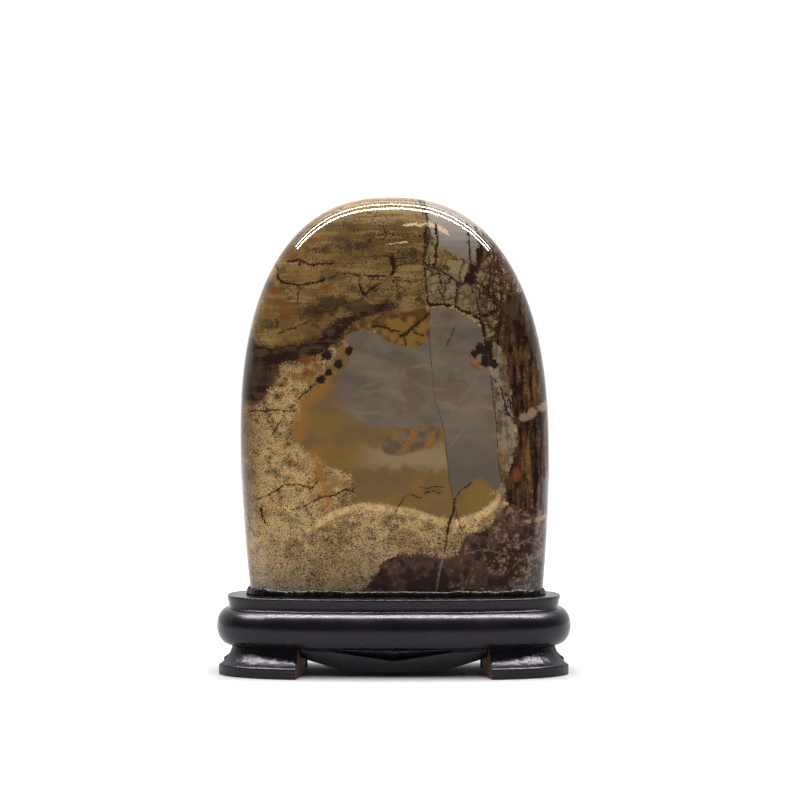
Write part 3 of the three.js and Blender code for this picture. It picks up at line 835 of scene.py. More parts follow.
# %% [markdown]
# ## The stand's board
# The board is one thick piece of wood with a moulding run all round it: a lip with a hollow side, a groove and a fat
# round bulge. A socket for the stone is cut in its top. The moulding keeps one section and follows one plan, so a rule
# gives the whole piece, and Geometry Nodes carry it out: a flat grid is bent round the plan in one direction and along
# the section in the other. The section is handed over as a row of points: how far it stands out from the plan, its
# height, and a share that blends from the plan (0) to the socket's outline (1) and to the middle line (2).

# %% Geometry trees with named inputs
SOCKET_KINDS = {
    float: "NodeSocketFloat",
    int: "NodeSocketInt",
    bpy.types.Object: "NodeSocketObject",
    bpy.types.Material: "NodeSocketMaterial",
}


def new_tree(name, inputs, takes_geometry=False):
    """A geometry tree with a named input for each value, its bench, and a wire from each input."""
    tree = bpy.data.node_groups.new(name, "GeometryNodeTree")
    tree.interface.new_socket("Geometry", in_out="OUTPUT", socket_type="NodeSocketGeometry")
    if takes_geometry:
        tree.interface.new_socket("Geometry", in_out="INPUT", socket_type="NodeSocketGeometry")
    for label, value in inputs.items():
        tree.interface.new_socket(label, in_out="INPUT", socket_type=SOCKET_KINDS[type(value)])
    entry = tree.nodes.new("NodeGroupInput")
    bench = Bench(tree)
    return bench, {socket.name: Wire(bench, socket) for socket in entry.outputs if socket.name}


def end_tree(bench, geometry, material):
    real = bench.add("GeometryNodeRealizeInstances", {"Geometry": geometry})
    dressed = bench.add("GeometryNodeSetMaterial", {"Geometry": real, "Material": material})
    bench.set_inputs(bench.tree.nodes.new("NodeGroupOutput"), {"Geometry": dressed})


def run_tree(piece, bench, inputs):
    """Runs a tree on a piece and keeps the result as the piece's plain mesh."""
    modifier = piece.modifiers.new(bench.tree.name, "NODES")
    modifier.node_group = bench.tree
    for item in bench.tree.interface.items_tree:
        if item.in_out == "INPUT" and item.name in inputs:
            modifier[item.identifier] = inputs[item.name]
    evaluated = piece.evaluated_get(bpy.context.evaluated_depsgraph_get())
    mesh = bpy.data.meshes.new_from_object(evaluated)
    piece.modifiers.clear()
    piece.data = mesh
    mesh.shade_smooth()


print("trees take", ", ".join(kind.__name__ for kind in SOCKET_KINDS))

# %% The moulding's section
STAND_TOP = body_high.z
BODY_UNDERSIDE = body_low.z
SOCKET_FLOOR = STONE_FOOT
LIP_HALF_WIDTH = 83
LIP_HALF_DEPTH = 33
LIP_FOOT = 32.25
LIP_HOLLOW = -0.9
PLAN_POWER = 2.9
FIT_GAP = 0.3
EDGE_EASE = 0.5
BULGE_REACH = 5.2
BULGE_WIDEST_AT = 23.8
BODY_ARRIS = -1
ROUND_STEPS = 5
TOP_SHARES = (0.75, 0.5, 0.25)
LIP_STEPS = 9
LIP_HOLLOW_SHARE = 0.7
BULGE_STEPS = 45
ON_PLAN, ON_SOCKET, ON_MIDDLE = 0, 1, 2


def body_section():
    """Rows of reach, share and height, from the socket's floor outwards and down to the underside."""
    section = [(0, ON_MIDDLE, SOCKET_FLOOR), (0, ON_SOCKET, SOCKET_FLOOR), (0, ON_SOCKET, STAND_TOP)]
    section += [(-EDGE_EASE, share, STAND_TOP) for share in TOP_SHARES]
    for turn in np.linspace(0, math.pi / 2, ROUND_STEPS):
        height = STAND_TOP - EDGE_EASE * (1 - math.cos(turn))
        section.append((EDGE_EASE * (math.sin(turn) - 1), ON_PLAN, height))
    for share in np.linspace(0, 1, LIP_STEPS)[1:]:
        height = STAND_TOP - EDGE_EASE - (STAND_TOP - EDGE_EASE - LIP_FOOT) * share
        hollow = LIP_HOLLOW * math.sin(min(1, share / LIP_HOLLOW_SHARE) * math.pi / 2) ** 2
        section.append((hollow, ON_PLAN, height))
    bulge_foot = BODY_UNDERSIDE + EDGE_EASE
    for turn in np.linspace(0, math.pi, BULGE_STEPS)[1:]:
        base, end = (LIP_HOLLOW, LIP_FOOT) if turn < math.pi / 2 else (BODY_ARRIS, bulge_foot)
        height = BULGE_WIDEST_AT + abs(end - BULGE_WIDEST_AT) * math.cos(turn)
        section.append((base + (BULGE_REACH - base) * math.sin(turn), ON_PLAN, height))
    under = BODY_ARRIS - EDGE_EASE
    return section + [(under, share, BODY_UNDERSIDE) for share in (ON_PLAN, ON_SOCKET, ON_MIDDLE)]


body_section_points = new_mesh_object("body_section", body_section(), [])
print("section:", len(body_section_points.data.vertices), "points")

# %% The moulded board
BODY_TURNS = 240
SPINE_SHARE = 0.9
SEAM_REACH = 0.04
FINE_STEPS = 1e6


def stone_inputs(gap):
    """Tree inputs for the stone's outline at the stand's top, made larger by a gap."""
    half_thickness = STONE_HALF_THICKNESS - STONE_BASE_THINNING * stone_below(STAND_TOP)
    return {
        "Stone half width": float(stone_half_width(STAND_TOP) + gap) * MM,
        "Stone half depth": float(half_thickness + gap) * MM,
        "Stone crown": STONE_FACE_CROWN,
        "Stone power": float(STONE_EDGE_POWER),
        "Stone shift": float(stone_middle(STAND_TOP)) * MM,
    }


def stone_outline(bench, cosine, sine, given):
    """x and y of that outline, before its shift to one side."""
    edge = abs(cosine) ** (2 / given["Stone power"])
    x = bench.sum("SIGN", cosine) * edge * given["Stone half width"]
    y = sine * given["Stone half depth"] * (1 + given["Stone crown"] * (1 - edge * edge))
    return x, y


def moulded_board(inputs):
    """A grid bent round a rounded plan in one direction and along a section in the other."""
    bench, given = new_tree("moulded board", inputs)
    section = bench.add("GeometryNodeObjectInfo", {"Object": given["Section"]}, out="Geometry")
    rows = bench.add("GeometryNodeAttributeDomainSize", {"Geometry": section}, component="MESH")
    position = bench.add("GeometryNodeInputPosition")
    sizes = {"Size X": 1.0, "Size Y": 1.0, "Vertices X": given["Turns"] + 1, "Vertices Y": rows}
    grid = bench.add("GeometryNodeMeshGrid", sizes)
    across, along, _ = bench.parts(position)
    row = bench.sum("ROUND", (along + 0.5) * (rows - 1))
    sample = {"Geometry": section, "Value": position, "Index": row}
    taken = bench.add("GeometryNodeSampleIndex", sample, data_type="FLOAT_VECTOR", domain="POINT")
    reach, share, height = bench.parts(taken)
    share = share / MM
    # The plan, a rounded oblong, with each point set off along the outline's normal
    turn = (0.5 - across) * math.tau
    # Rounding makes the cosine of a right angle a true zero, so that both sides meet on the middle line
    cosine = bench.sum("ROUND", bench.sum("COSINE", turn) * FINE_STEPS) / FINE_STEPS
    sine = bench.sum("SINE", turn)
    half_width, half_depth, power = given["Half width"], given["Half depth"], given["Plan power"]
    unit_x = bench.signed_power(cosine, 2 / power)
    unit_y = bench.signed_power(sine, 2 / power)
    normal_x = bench.signed_power(unit_x, power - 1) / half_width
    normal_y = bench.signed_power(unit_y, power - 1) / half_depth
    steep = bench.sum("SQRT", normal_x * normal_x + normal_y * normal_y)
    plan_x = unit_x * half_width + reach * normal_x / steep
    plan_y = unit_y * half_depth + reach * normal_y / steep
    # The socket, cut to the stone's own section
    socket_x, socket_y = stone_outline(bench, cosine, sine, given)
    socket_x = socket_x + given["Stone shift"]
    # Blend from the plan to the socket, and from the socket to the middle line
    to_socket = bench.clamped(share)
    to_middle = bench.clamped(share - 1)
    x = plan_x + (socket_x - plan_x) * to_socket
    y = plan_y + (socket_y - plan_y) * to_socket
    x = x * (1 - (1 - SPINE_SHARE) * to_middle)
    y = y * (1 - to_middle)
    bent = bench.add("GeometryNodeSetPosition", {"Geometry": grid, "Position": bench.vector(x, y, height)})
    closed = bench.add("GeometryNodeMergeByDistance", {"Geometry": bent, "Distance": SEAM_REACH * MM})
    end_tree(bench, closed, given["Material"])
    return bench


black_lacquer, lacquer, lacquer_shader = new_material("black_lacquer")
board_inputs = {
    "Section": body_section_points,
    "Turns": BODY_TURNS,
    "Half width": LIP_HALF_WIDTH * MM,
    "Half depth": LIP_HALF_DEPTH * MM,
    "Plan power": PLAN_POWER,
    **stone_inputs(FIT_GAP),
    "Material": black_lacquer,
}
stand_body = new_mesh_object("moulded_board", np.zeros((0, 3)), [])
run_tree(stand_body, moulded_board(board_inputs), board_inputs)
bpy.data.objects.remove(body_section_points)
print("board:", len(stand_body.data.polygons), "faces")

# %% [markdown]
# ## Feet and aprons
# Four corner feet carry the board. Each has a square toe, a hollow cove above it and a neck under the board, and its
# ends are sawn flat, with the edges just broken. Between the feet a rail hangs in front and behind: it bellies forward,
# and a shallow leaf-shaped hollow is carved in its upper part. Both are lofts: one outline is worked out at each step
# and the outlines are joined. A loft written in numpy keeps the corners that carving leaves, which a subdivision
# surface would melt.

# %% Lofts
def lofted(rings):
    """Points and faces of a closed solid through rings of equal length, with a fan over each end."""
    rings = np.asarray(rings, float)
    count, length = rings.shape[:2]
    ring = np.arange(count * length).reshape(count, length)
    after = np.roll(ring, -1, axis=1)
    sides = np.stack([ring[:-1], after[:-1], after[1:], ring[1:]], -1).reshape(-1, 4).tolist()
    middles = [rings[0].mean(0), rings[-1].mean(0)]
    first, last = count * length, count * length + 1
    ends = [(first, after[0, k], ring[0, k]) for k in range(length)]
    ends += [(last, ring[-1, k], after[-1, k]) for k in range(length)]
    return np.concatenate([rings.reshape(-1, 3), middles]), sides + ends


def eased(outline, corners, radius, steps=4):
    """The closed outline with each named corner replaced by a small round."""
    made = []
    count = len(outline)
    for k, corner in enumerate(outline):
        if k not in corners:
            made.append(corner)
            continue
        before = outline[k - 1] - corner
        after = outline[(k + 1) % count] - corner
        start = corner + before * (radius / np.linalg.norm(before))
        end = corner + after * (radius / np.linalg.norm(after))
        for share in np.linspace(0, 1, steps):
            made.append(start * (1 - share) ** 2 + 2 * corner * share * (1 - share) + end * share**2)
    return made


print("lofts ready")

# %% Corner feet
TOE_REACH = 5.5
TOE_HEIGHT = 5.2
TOE_ROUND = 0.8
NECK_REACH = -1.4
NECK_HEIGHT = 13.8
COVE_HOLLOW = 0.5
FOOT_INNER_FRONT = 46.8
FOOT_INNER_BACK = 43.6
FOOT_END_AT = 12.5
FOOT_EDGE = 0.55
FOOT_STEPS = 56
TOE_ROWS = (2.6, 0.7, 0.25)
COVE_START = 0.06
COVE_STEPS = 16


def plan_point(turn, reach):
    """A point of the stand's plan, set off outwards."""
    unit = np.array([math.cos(turn), math.sin(turn)])
    unit = np.sign(unit) * abs(unit) ** (2 / PLAN_POWER)
    half = np.array([LIP_HALF_WIDTH, LIP_HALF_DEPTH])
    normal = np.sign(unit) * abs(unit) ** (PLAN_POWER - 1) / half
    return unit * half + normal * (reach / np.linalg.norm(normal))


def turn_at_width(x):
    return math.acos((x / LIP_HALF_WIDTH) ** (PLAN_POWER / 2))


def turn_at_depth(y):
    return math.asin((y / LIP_HALF_DEPTH) ** (PLAN_POWER / 2))


def foot_section():
    """Rows of reach and height from the floor up: a rounded toe, a hollow cove and a straight neck."""
    section = []
    for turn in np.linspace(0, math.pi / 2, ROUND_STEPS):
        section.append((TOE_REACH - TOE_ROUND * (1 - math.sin(turn)), TOE_ROUND * (1 - math.cos(turn))))
    section += [(TOE_REACH, TOE_HEIGHT - rise) for rise in TOE_ROWS]
    for turn in np.linspace(COVE_START, 1, COVE_STEPS) * math.pi / 2:
        straight = (1 - COVE_HOLLOW) * turn / (math.pi / 2)
        reach = (1 - math.sin(turn)) * COVE_HOLLOW + (1 - COVE_HOLLOW) - straight
        rise = (1 - math.cos(turn)) * COVE_HOLLOW + straight
        section.append((NECK_REACH + (TOE_REACH - NECK_REACH) * reach,
                        TOE_HEIGHT + (NECK_HEIGHT - TOE_HEIGHT) * rise))
    section.append((NECK_REACH, BODY_UNDERSIDE))
    return section


def corner_foot(side_x, side_y):
    turns = np.linspace(turn_at_depth(FOOT_END_AT), turn_at_width(FOOT_INNER_FRONT), FOOT_STEPS)
    rings = []
    for reach, height in foot_section():
        outline = [np.array([FOOT_INNER_BACK, FOOT_END_AT])] + [plan_point(turn, reach) for turn in turns]
        outline = eased(outline, {0, 1, FOOT_STEPS}, FOOT_EDGE)
        ring = [(side_x * x, side_y * y, height) for x, y in outline]
        rings.append(ring if side_x * side_y > 0 else ring[::-1])
    return lofted(rings)


feet = {}
for depth_name, side_y in (("front", -1), ("back", 1)):
    for width_name, side_x in (("left", -1), ("right", 1)):
        node = f"foot_{depth_name}_{width_name}"
        feet[node] = new_mesh_object(f"carved_{node}", *corner_foot(side_x, side_y))
print("feet:", ", ".join(f"{node} {len(foot.data.polygons)} faces" for node, foot in feet.items()))

# %% Hanging aprons
APRON_HALF_LENGTH = 46
APRON_LOWEST = 2.2
APRON_SHOULDER = 26.5
APRON_SHOULDER_HEIGHT = 3.7
APRON_END_HEIGHT = 9.2
APRON_FACE = -3
APRON_TUCK = 4.5
APRON_THICKNESS = 9
APRON_BACK_RISE = 1
HOLLOW_HALF_LENGTH = 28
HOLLOW_POINT_HEIGHT = 8.6
HOLLOW_DEPTH = 2.2
HOLLOW_END_DROP = 0.8
HOLLOW_LEAST = 0.1
BELLY_HANDLE = np.array([-0.2, 0.4])
HOLLOW_HANDLE = np.array([-1.3, 0.1])
APRON_STEPS = 116
BELLY_STEPS = 10
HOLLOW_STEPS = 8


def plan_depth(x):
    return LIP_HALF_DEPTH * (1 - abs(x / LIP_HALF_WIDTH) ** PLAN_POWER) ** (1 / PLAN_POWER)


def foot_inner_wall(depth):
    toe_x, toe_y = plan_point(turn_at_width(FOOT_INNER_FRONT), TOE_REACH)
    return FOOT_INNER_BACK + (toe_x - FOOT_INNER_BACK) * (depth - FOOT_END_AT) / (toe_y - FOOT_END_AT)


def apron_lower_edge(x):
    """Steep near the feet, then a shallow hanging curve."""
    away = abs(x)
    if away < APRON_SHOULDER:
        return APRON_LOWEST + (APRON_SHOULDER_HEIGHT - APRON_LOWEST) * (away / APRON_SHOULDER) ** 2
    share = (away - APRON_SHOULDER) / (APRON_HALF_LENGTH - APRON_SHOULDER)
    return APRON_SHOULDER_HEIGHT + (APRON_END_HEIGHT - APRON_SHOULDER_HEIGHT) * share


def swept(start, handle, end, steps):
    """Points of a curve from start towards a handle and on to the end, without the start."""
    shares = np.linspace(0, 1, steps + 1)[1:, None]
    return list(start * (1 - shares) ** 2 + 2 * handle * shares * (1 - shares) + end * shares**2)


def apron_section(x):
    """Depth and height round an apron at a place across the stand, from the back edge's foot."""
    low = apron_lower_edge(x)
    away = min(1, abs(x) / HOLLOW_HALF_LENGTH)
    point_rise = BODY_UNDERSIDE - HOLLOW_END_DROP - HOLLOW_POINT_HEIGHT
    ridge = max(HOLLOW_POINT_HEIGHT + point_rise * away, low + APRON_BACK_RISE)
    carved = max(HOLLOW_LEAST, HOLLOW_DEPTH * math.sqrt(1 - away))
    face = plan_depth(x) + APRON_FACE
    back = plan_depth(APRON_HALF_LENGTH) + APRON_FACE - APRON_THICKNESS
    foot = np.array([face - APRON_TUCK, low])
    edge = np.array([face, ridge])
    top = np.array([face - carved, BODY_UNDERSIDE])
    belly = np.array([face, low]) + BELLY_HANDLE * (APRON_TUCK, ridge - low)
    hollow = edge + HOLLOW_HANDLE * (carved, BODY_UNDERSIDE - ridge)
    section = [np.array([back, low + APRON_BACK_RISE]), foot]
    section += swept(foot, belly, edge, BELLY_STEPS) + swept(edge, hollow, top, HOLLOW_STEPS)
    return section + [np.array([back, BODY_UNDERSIDE])]


def hanging_apron(side):
    rings = []
    for x in np.linspace(-APRON_HALF_LENGTH, APRON_HALF_LENGTH, APRON_STEPS + 1):
        ring = []
        for depth, height in apron_section(x):
            across = (x / APRON_HALF_LENGTH) * (foot_inner_wall(depth) - FIT_GAP)
            ring.append((across, side * depth, height))
        rings.append(ring if side > 0 else ring[::-1])
    return lofted(rings)


aprons = {}
for depth_name, side in (("front", -1), ("back", 1)):
    node = f"apron_{depth_name}"
    aprons[node] = new_mesh_object(f"carved_{node}", *hanging_apron(side))
print("aprons:", ", ".join(f"{node} {len(apron.data.polygons)} faces" for node, apron in aprons.items()))

# %% [markdown]
# ## The carver's hand
# No face of the stand is quite true. The knife and the lacquer left slow waves a tenth of a millimetre high, and they
# are what breaks up the long reflections in the photograph. A bump map could fake them, but real waves also move the
# outline, so one small tree pushes every point of a piece along its normal by noise.

# %% Hand-carved waves
HAND_WAVE = 0.16
HAND_WAVE_LENGTH = 17
HAND_RIPPLE = 0.05
HAND_RIPPLE_LENGTH = 5
HAND_SEED = 3.0
FLAT_FOOT = 0.8


def hand_carved(inputs):
    bench, given = new_tree("hand carved", inputs, takes_geometry=True)
    position = bench.add("GeometryNodeInputPosition")
    normal = bench.add("GeometryNodeInputNormal")
    wave = bench.noise(position, 1 / given["Wave length"], detail=1.0, seed=given["Seed"])
    ripple = bench.noise(position, 1 / given["Ripple length"], detail=1.0, seed=given["Seed"])
    push = wave * 2 * given["Wave"] + ripple * 2 * given["Ripple"]
    # The feet stay flat where they stand on the floor
    _, _, height = bench.parts(position)
    push = push * bench.ramp(height, 0.0, given["Flat foot"])
    offset = bench.stretched(normal, bench.vector(push, push, push))
    moved = bench.add("GeometryNodeSetPosition", {"Geometry": given["Geometry"], "Offset": offset})
    end_tree(bench, moved, given["Material"])
    return bench


carving_inputs = {
    "Wave": HAND_WAVE * MM,
    "Wave length": HAND_WAVE_LENGTH * MM,
    "Ripple": HAND_RIPPLE * MM,
    "Ripple length": HAND_RIPPLE_LENGTH * MM,
    "Flat foot": FLAT_FOOT * MM,
    "Seed": HAND_SEED,
    "Material": black_lacquer,
}
carving = hand_carved(carving_inputs)
for piece in (stand_body, *feet.values(), *aprons.values()):
    run_tree(piece, carving, carving_inputs)
print("carved:", 1 + len(feet) + len(aprons), "pieces")

# %% [markdown]
# ## The bead round the stone's foot
# The stone is bedded in lacquer, and a bead of it was pressed out all round: thin and uneven along the front, and
# heaped at the left end. A bead follows a path, so it is a small profile swept
# along the stone's section by Geometry Nodes, and noise makes its size and height uneven.

# %% Pressed-out bead
BEAD_HEIGHT = 3.2
BEAD_WIDTH = 1.5
BEAD_HEAP_FROM = 55
BEAD_HEAP_RUN = 20
BEAD_HEAP_RISE = 1.3
BEAD_TURNS = 720
BEAD_ROUND = 12
BEAD_HIDDEN_STEPS = 2
BEAD_TUCK = 0.3
BEAD_FULLNESS = 0.8
BEAD_HEAP_WIDENS = 0.5
BEAD_SEAM = 0.01
BEAD_UNEVEN = 0.55
BEAD_LUMP_LENGTH = 7
BEAD_CRUMB_LENGTH = 1.8
BEAD_SEED = 11.0


def pressed_bead(inputs):
    """A closed profile swept along the stone's section: the grid's first direction goes round the stone."""
    bench, given = new_tree("pressed bead", inputs)
    rows = given["Round steps"] + 1
    sizes = {"Size X": 1.0, "Size Y": 1.0, "Vertices X": given["Turns"] + 1, "Vertices Y": rows}
    grid = bench.add("GeometryNodeMeshGrid", sizes)
    across, along, _ = bench.parts(bench.add("GeometryNodeInputPosition"))
    turn = (0.5 - across) * math.tau
    cosine = bench.sum("COSINE", turn)
    sine = bench.sum("SINE", turn)
    path_x, path_y = stone_outline(bench, cosine, sine, given)
    # Outward direction of the path, from the slope of the two halves of its formula
    out_x = bench.signed_power(cosine, 2 - 2 / given["Stone power"]) / given["Stone half width"]
    out_y = sine / given["Stone half depth"]
    steep = bench.sum("SQRT", out_x * out_x + out_y * out_y)
    out_x = out_x / steep
    out_y = out_y / steep
    place = bench.vector(path_x, path_y, 0.0)
    lump = bench.noise(place, 1 / given["Lump length"], detail=2.0, seed=given["Seed"])
    crumb = bench.noise(place, 1 / given["Crumb length"], detail=2.0, seed=given["Seed"])
    size = 1 + (lump * 2 + crumb) * given["Uneven"]
    heap = bench.clamped((0 - path_x - given["Heap from"]) / given["Heap run"])
    width = given["Width"] * (size + heap * BEAD_HEAP_WIDENS)
    height = given["Height"] * size + heap * given["Heap rise"]
    # The profile is a closed loop: over the bead, back along the board, and up inside the stone's side
    step = (along + 0.5) * given["Round steps"]
    over = bench.clamped(step / BEAD_ROUND)
    back = bench.clamped(step - BEAD_ROUND)
    rise = bench.clamped(step - BEAD_ROUND - 1)
    lift = over * (math.pi / 2)
    outward = width * (bench.sum("SINE", lift) - back) - given["Tuck"] * (1 - over + back)
    upward = height * (bench.sum("COSINE", lift) ** BEAD_FULLNESS + rise)
    x = path_x + out_x * outward + given["Stone shift"]
    y = path_y + out_y * outward
    bead_place = bench.vector(x, y, upward + given["Foot"])
    bent = bench.add("GeometryNodeSetPosition", {"Geometry": grid, "Position": bead_place})
    closed = bench.add("GeometryNodeMergeByDistance", {"Geometry": bent, "Distance": BEAD_SEAM * MM})
    end_tree(bench, closed, given["Material"])
    return bench


setting_lacquer, setting, setting_shader = new_material("setting_lacquer")
bead_inputs = {
    "Turns": BEAD_TURNS,
    "Round steps": BEAD_ROUND + BEAD_HIDDEN_STEPS,
    **stone_inputs(0),
    "Foot": STAND_TOP * MM,
    "Height": BEAD_HEIGHT * MM,
    "Width": BEAD_WIDTH * MM,
    "Tuck": BEAD_TUCK * MM,
    "Heap from": BEAD_HEAP_FROM * MM,
    "Heap run": BEAD_HEAP_RUN * MM,
    "Heap rise": BEAD_HEAP_RISE * MM,
    "Uneven": BEAD_UNEVEN,
    "Lump length": BEAD_LUMP_LENGTH * MM,
    "Crumb length": BEAD_CRUMB_LENGTH * MM,
    "Seed": BEAD_SEED,
    "Material": setting_lacquer,
}
bead = new_mesh_object("pressed_bead", np.zeros((0, 3)), [])
run_tree(bead, pressed_bead(bead_inputs), bead_inputs)
print("bead:", len(bead.data.polygons), "faces")

# %% [markdown]
# ## Black lacquer
# The stand is a close-grained wood under thin black lacquer, rubbed to a soft shine. The lacquer is not quite even:
# knife marks show as small facets in the light, pores print through, the black is worn brown in places, and the inner walls
# of the feet were left as sawn wood with little lacquer on them. The normal in the piece's own space picks out those
# walls, so no separate piece is needed for them.

# %% Lacquer finish
LACQUER_BLACK = (0.0042, 0.0034, 0.0045, 1)
LACQUER_BROWN = (0.022, 0.012, 0.007, 1)
BARE_WOOD = (0.16, 0.085, 0.05, 1)
SAWN_WOOD = (0.06, 0.03, 0.018, 1)
FEET_TOP = 17
PINHOLE = (-64.3, 11.5)
PINHOLE_RADIUS = 0.55
PINHOLE_EDGE = 0.2
LACQUER_ROUGHNESS = 0.27
LACQUER_SPECULAR = 0.36
LACQUER_TINT = (0.93, 0.84, 1, 1)
RELIEF_STRENGTH = 0.35
RELIEF_DEPTH = 0.0008

lacquer_mm = lacquer.object_mm()
lacquer_x, lacquer_y, lacquer_z = lacquer.parts(lacquer_mm)
facing_x, _, _ = lacquer.parts(lacquer.add("ShaderNodeTexCoord", out="Normal"))
knife = lacquer.noise(lacquer_mm, 0.32, detail=1.0, seed=1.0)
pores = lacquer.noise(lacquer_mm, (0.25, 1.6, 1.6), detail=2.0, seed=2.0)
rubbed = lacquer.noise(lacquer_mm, 0.07, detail=4.0, seed=3.0)
saw = lacquer.noise(lacquer_mm, (1.0, 0.3, 2.2), detail=3.0, seed=4.0)
on_feet = lacquer.ramp(lacquer_z, FEET_TOP + 1, FEET_TOP - 1)
print("lacquer fields: knife, pores, rubbed, saw")

# %% Lacquer colour, shine and relief
side = lacquer.sum("SIGN", lacquer_x)
inner_wall = lacquer.ramp(0 - facing_x * side, 0.75, 0.95) * on_feet
worn = lacquer.ramp(rubbed + pores * 0.5, 0.1, 0.28)
lacquer_colour = lacquer.mix(LACQUER_BLACK, LACQUER_BROWN, worn * 0.5)
bare = lacquer.mix(SAWN_WOOD, BARE_WOOD, lacquer.ramp(saw, -0.1, 0.15))
lacquer_colour = lacquer.mix(lacquer_colour, bare, inner_wall)
lacquer_rough = LACQUER_ROUGHNESS + rubbed * 0.2 + pores * 0.06 + inner_wall * 0.3
pinhole_away = ((lacquer_x - PINHOLE[0]) ** 2 + (lacquer_z - PINHOLE[1]) ** 2) ** 0.5
pinhole = lacquer.ramp(pinhole_away, PINHOLE_RADIUS + PINHOLE_EDGE, PINHOLE_RADIUS - PINHOLE_EDGE)
on_front = lacquer.ramp(lacquer_y, 0, -20)
relief = knife * (0.15 + on_feet * 0.9) + pores * 0.015 - pinhole * on_front
lacquer_finish = {
    "Base Color": lacquer_colour,
    "Roughness": lacquer_rough,
    "Specular IOR Level": LACQUER_SPECULAR,
    "Specular Tint": LACQUER_TINT,
    "Normal": lacquer.bump(relief, RELIEF_STRENGTH, RELIEF_DEPTH),
}
lacquer.set_inputs(lacquer_shader, lacquer_finish)
print("lacquer material:", len(black_lacquer.node_tree.nodes), "nodes")

# %% [markdown]
# ## Setting lacquer
# The bead that beds the stone dried thick and glossy. It is almost black, red brown where it is thin, and its skin is
# lumpy, so the lamps break into small sparks along it.

# %% Bead finish
BEAD_BLACK = (0.006, 0.0035, 0.0025, 1)
BEAD_BROWN = (0.03, 0.012, 0.006, 1)
BEAD_ROUGHNESS = 0.24
BEAD_SPECULAR = 0.15
LUMP_STRENGTH = 0.4
LUMP_DEPTH = 0.0012

bead_mm = setting.object_mm()
lumps = setting.noise(bead_mm, 0.55, detail=2.0, seed=1.0)
thick = setting.noise(bead_mm, 0.12, detail=2.0, seed=2.0)
bead_colour = setting.mix(BEAD_BLACK, BEAD_BROWN, setting.ramp(thick + lumps * 0.6, -0.05, 0.2))
bead_rough = BEAD_ROUGHNESS + setting.ramp(lumps, -0.1, 0.2) * 0.12
bead_finish = {
    "Base Color": bead_colour,
    "Roughness": bead_rough,
    "Specular IOR Level": BEAD_SPECULAR,
    "Normal": setting.bump(lumps, LUMP_STRENGTH, LUMP_DEPTH),
}
setting.set_inputs(setting_shader, bead_finish)
print("bead material:", len(setting_lacquer.node_tree.nodes), "nodes")

# %% [markdown]
# ## Light and floor
# The photograph is a studio picture: white behind and below, long lamps overhead, and little light from the camera's
# side. So the sky is bright behind and dim at the sides and in front, though the camera always sees it white, and the
# floor in front of the stand is pale to the camera but dim in reflections. That keeps the black lacquer black.
# Two strip lamps make the double line along the stone's top edge, a panel gives the lacquer its sheen, and a wide soft
# lamp, which doesn't show in reflections, lights the stone's face.

# %% Floor
FLOOR_SIZE = 4000
SQUARE = ((-1, -1), (1, -1), (1, 1), (-1, 1))
FLOOR_PALE = (0.8, 0.8, 0.8, 1)
FLOOR_DIM = (0.05, 0.05, 0.05, 1)
FLOOR_GLOW = 0.4
FAR_GLOW = 0.9
FAR_FROM = 50
FAR_TO = 600
FLOOR_FADE_FROM = -130
FLOOR_FADE_TO = -300
STAND_EDGE = (88, 38)
GLOW_FROM = -20
GLOW_TO = 18
FLOOR_ROUGHNESS = 0.9
FLOOR_SPECULAR = 0.1

floor_corners = [(x * FLOOR_SIZE / 2, y * FLOOR_SIZE / 2, 0) for x, y in SQUARE]
floor = new_mesh_object("floor", floor_corners, [(0, 1, 2, 3)])
floor_material, floor_bench, floor_shader = new_material("pale_floor")
floor_place = floor_bench.add("ShaderNodeTexCoord", out="Object")
floor_across, floor_depth, _ = floor_bench.parts(floor_place)
near = floor_bench.ramp(floor_depth, FLOOR_FADE_TO * MM, FLOOR_FADE_FROM * MM)
lit = floor_bench.sum("MAXIMUM", near, floor_bench.add("ShaderNodeLightPath", out="Is Camera Ray"))
floor_colour = floor_bench.mix(FLOOR_DIM, FLOOR_PALE, lit)
past_side = abs(floor_across) - STAND_EDGE[0] * MM
past_front = abs(floor_depth) - STAND_EDGE[1] * MM
away = floor_bench.sum("MAXIMUM", past_side, past_front)
floor_glow = lit * floor_bench.ramp(away, GLOW_FROM * MM, GLOW_TO * MM) * FLOOR_GLOW
floor_glow = floor_glow + floor_bench.ramp(abs(floor_depth), FAR_FROM * MM, FAR_TO * MM) * lit * FAR_GLOW
floor_finish = {
    "Base Color": floor_colour,
    "Roughness": FLOOR_ROUGHNESS,
    "Specular IOR Level": FLOOR_SPECULAR,
    "Emission Color": WHITE,
    "Emission Strength": floor_glow,
}
floor_bench.set_inputs(floor_shader, floor_finish)
floor.data.materials.append(floor_material)
print("floor:", FLOOR_SIZE, "mm square")

# %% Sky
SKY_BRIGHT = 1.0
SKY_DIM = 0.06
SKY_FRONT_FROM = -0.7
SKY_FRONT_TO = 0.3

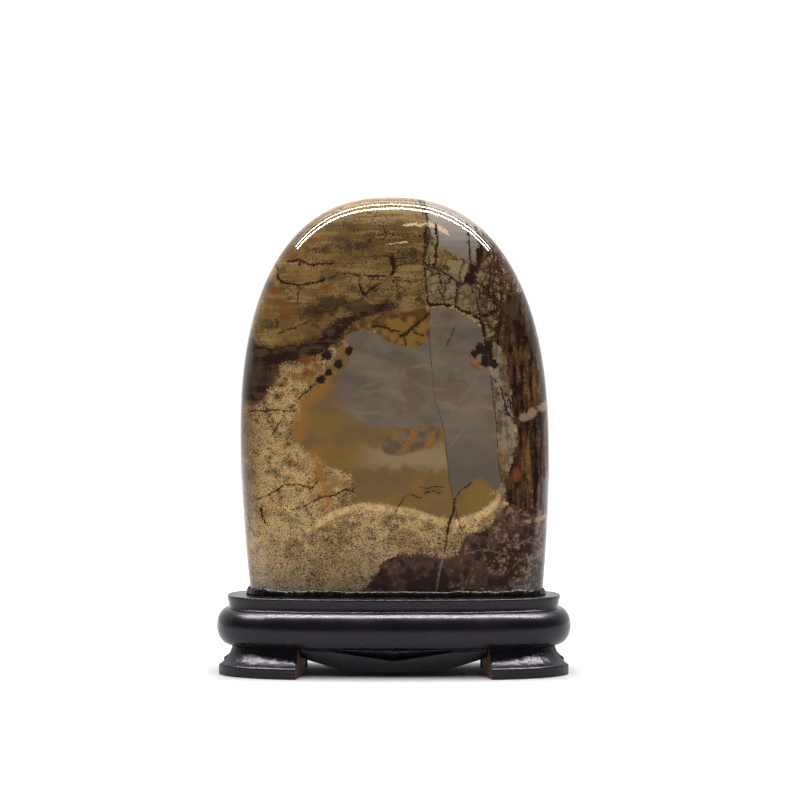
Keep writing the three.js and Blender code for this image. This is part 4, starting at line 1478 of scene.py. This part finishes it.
world = bpy.data.worlds.new("studio")
bpy.context.scene.world = world
world.use_nodes = True
sky = Bench(world.node_tree)
direction = sky.add("ShaderNodeTexCoord", out="Generated")
_, sky_depth, _ = sky.parts(direction)
front = sky.ramp(0 - sky_depth, SKY_FRONT_FROM, SKY_FRONT_TO)
brightness = SKY_BRIGHT + (SKY_DIM - SKY_BRIGHT) * front
seen = sky.add("ShaderNodeLightPath", out="Is Camera Ray")
strength = brightness + (1 - brightness) * seen
sky.set_inputs(world.node_tree.nodes["Background"], {"Color": WHITE, "Strength": strength})
print("sky from", SKY_DIM, "in front to", SKY_BRIGHT, "behind")

# %% Lamps
LAMP_HEIGHT = 1150
LAMP_LENGTH = 2200
STRIP_LAMPS = ((50, 60, 34), (-230, 75, 60))
SOFT_LAMP = (-450, 1600, 24)
PANEL_LAMP = (35, 730, 42)


def overhead_lamp(name, depth, width, power):
    light = bpy.data.lights.new(name, "AREA")
    light.shape = "RECTANGLE"
    light.size = LAMP_LENGTH * MM
    light.size_y = width * MM
    light.energy = power
    lamp = bpy.data.objects.new(name, light)
    lamp.location = (0, depth * MM, LAMP_HEIGHT * MM)
    bpy.context.scene.collection.objects.link(lamp)
    return lamp


for strip_values in STRIP_LAMPS:
    overhead_lamp("strip_lamp", *strip_values).visible_diffuse = False
overhead_lamp("soft_lamp", *SOFT_LAMP).visible_glossy = False
overhead_lamp("panel_lamp", *PANEL_LAMP).visible_diffuse = False
bpy.context.scene.view_settings.view_transform = "Standard"
print("lamps:", len(STRIP_LAMPS) + 2)

# %% [markdown]
# ## Join the pieces to the frame
# Every piece rides on the part's one body, and the plain solid that it replaces is hidden.

# %% Pieces and nodes
DRESSED = [(stone, "stone", "polished_stone"), (bead, "setting_bead", "setting_lacquer")]
DRESSED += [(stand_body, "stand_body", "black_lacquer")]
DRESSED += [(piece, node, "black_lacquer") for node, piece in (feet | aprons).items()]
for piece, node, slot in DRESSED:
    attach(piece, "root")
    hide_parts(node)
print("dressed:", ", ".join(node for _, node, _ in DRESSED))
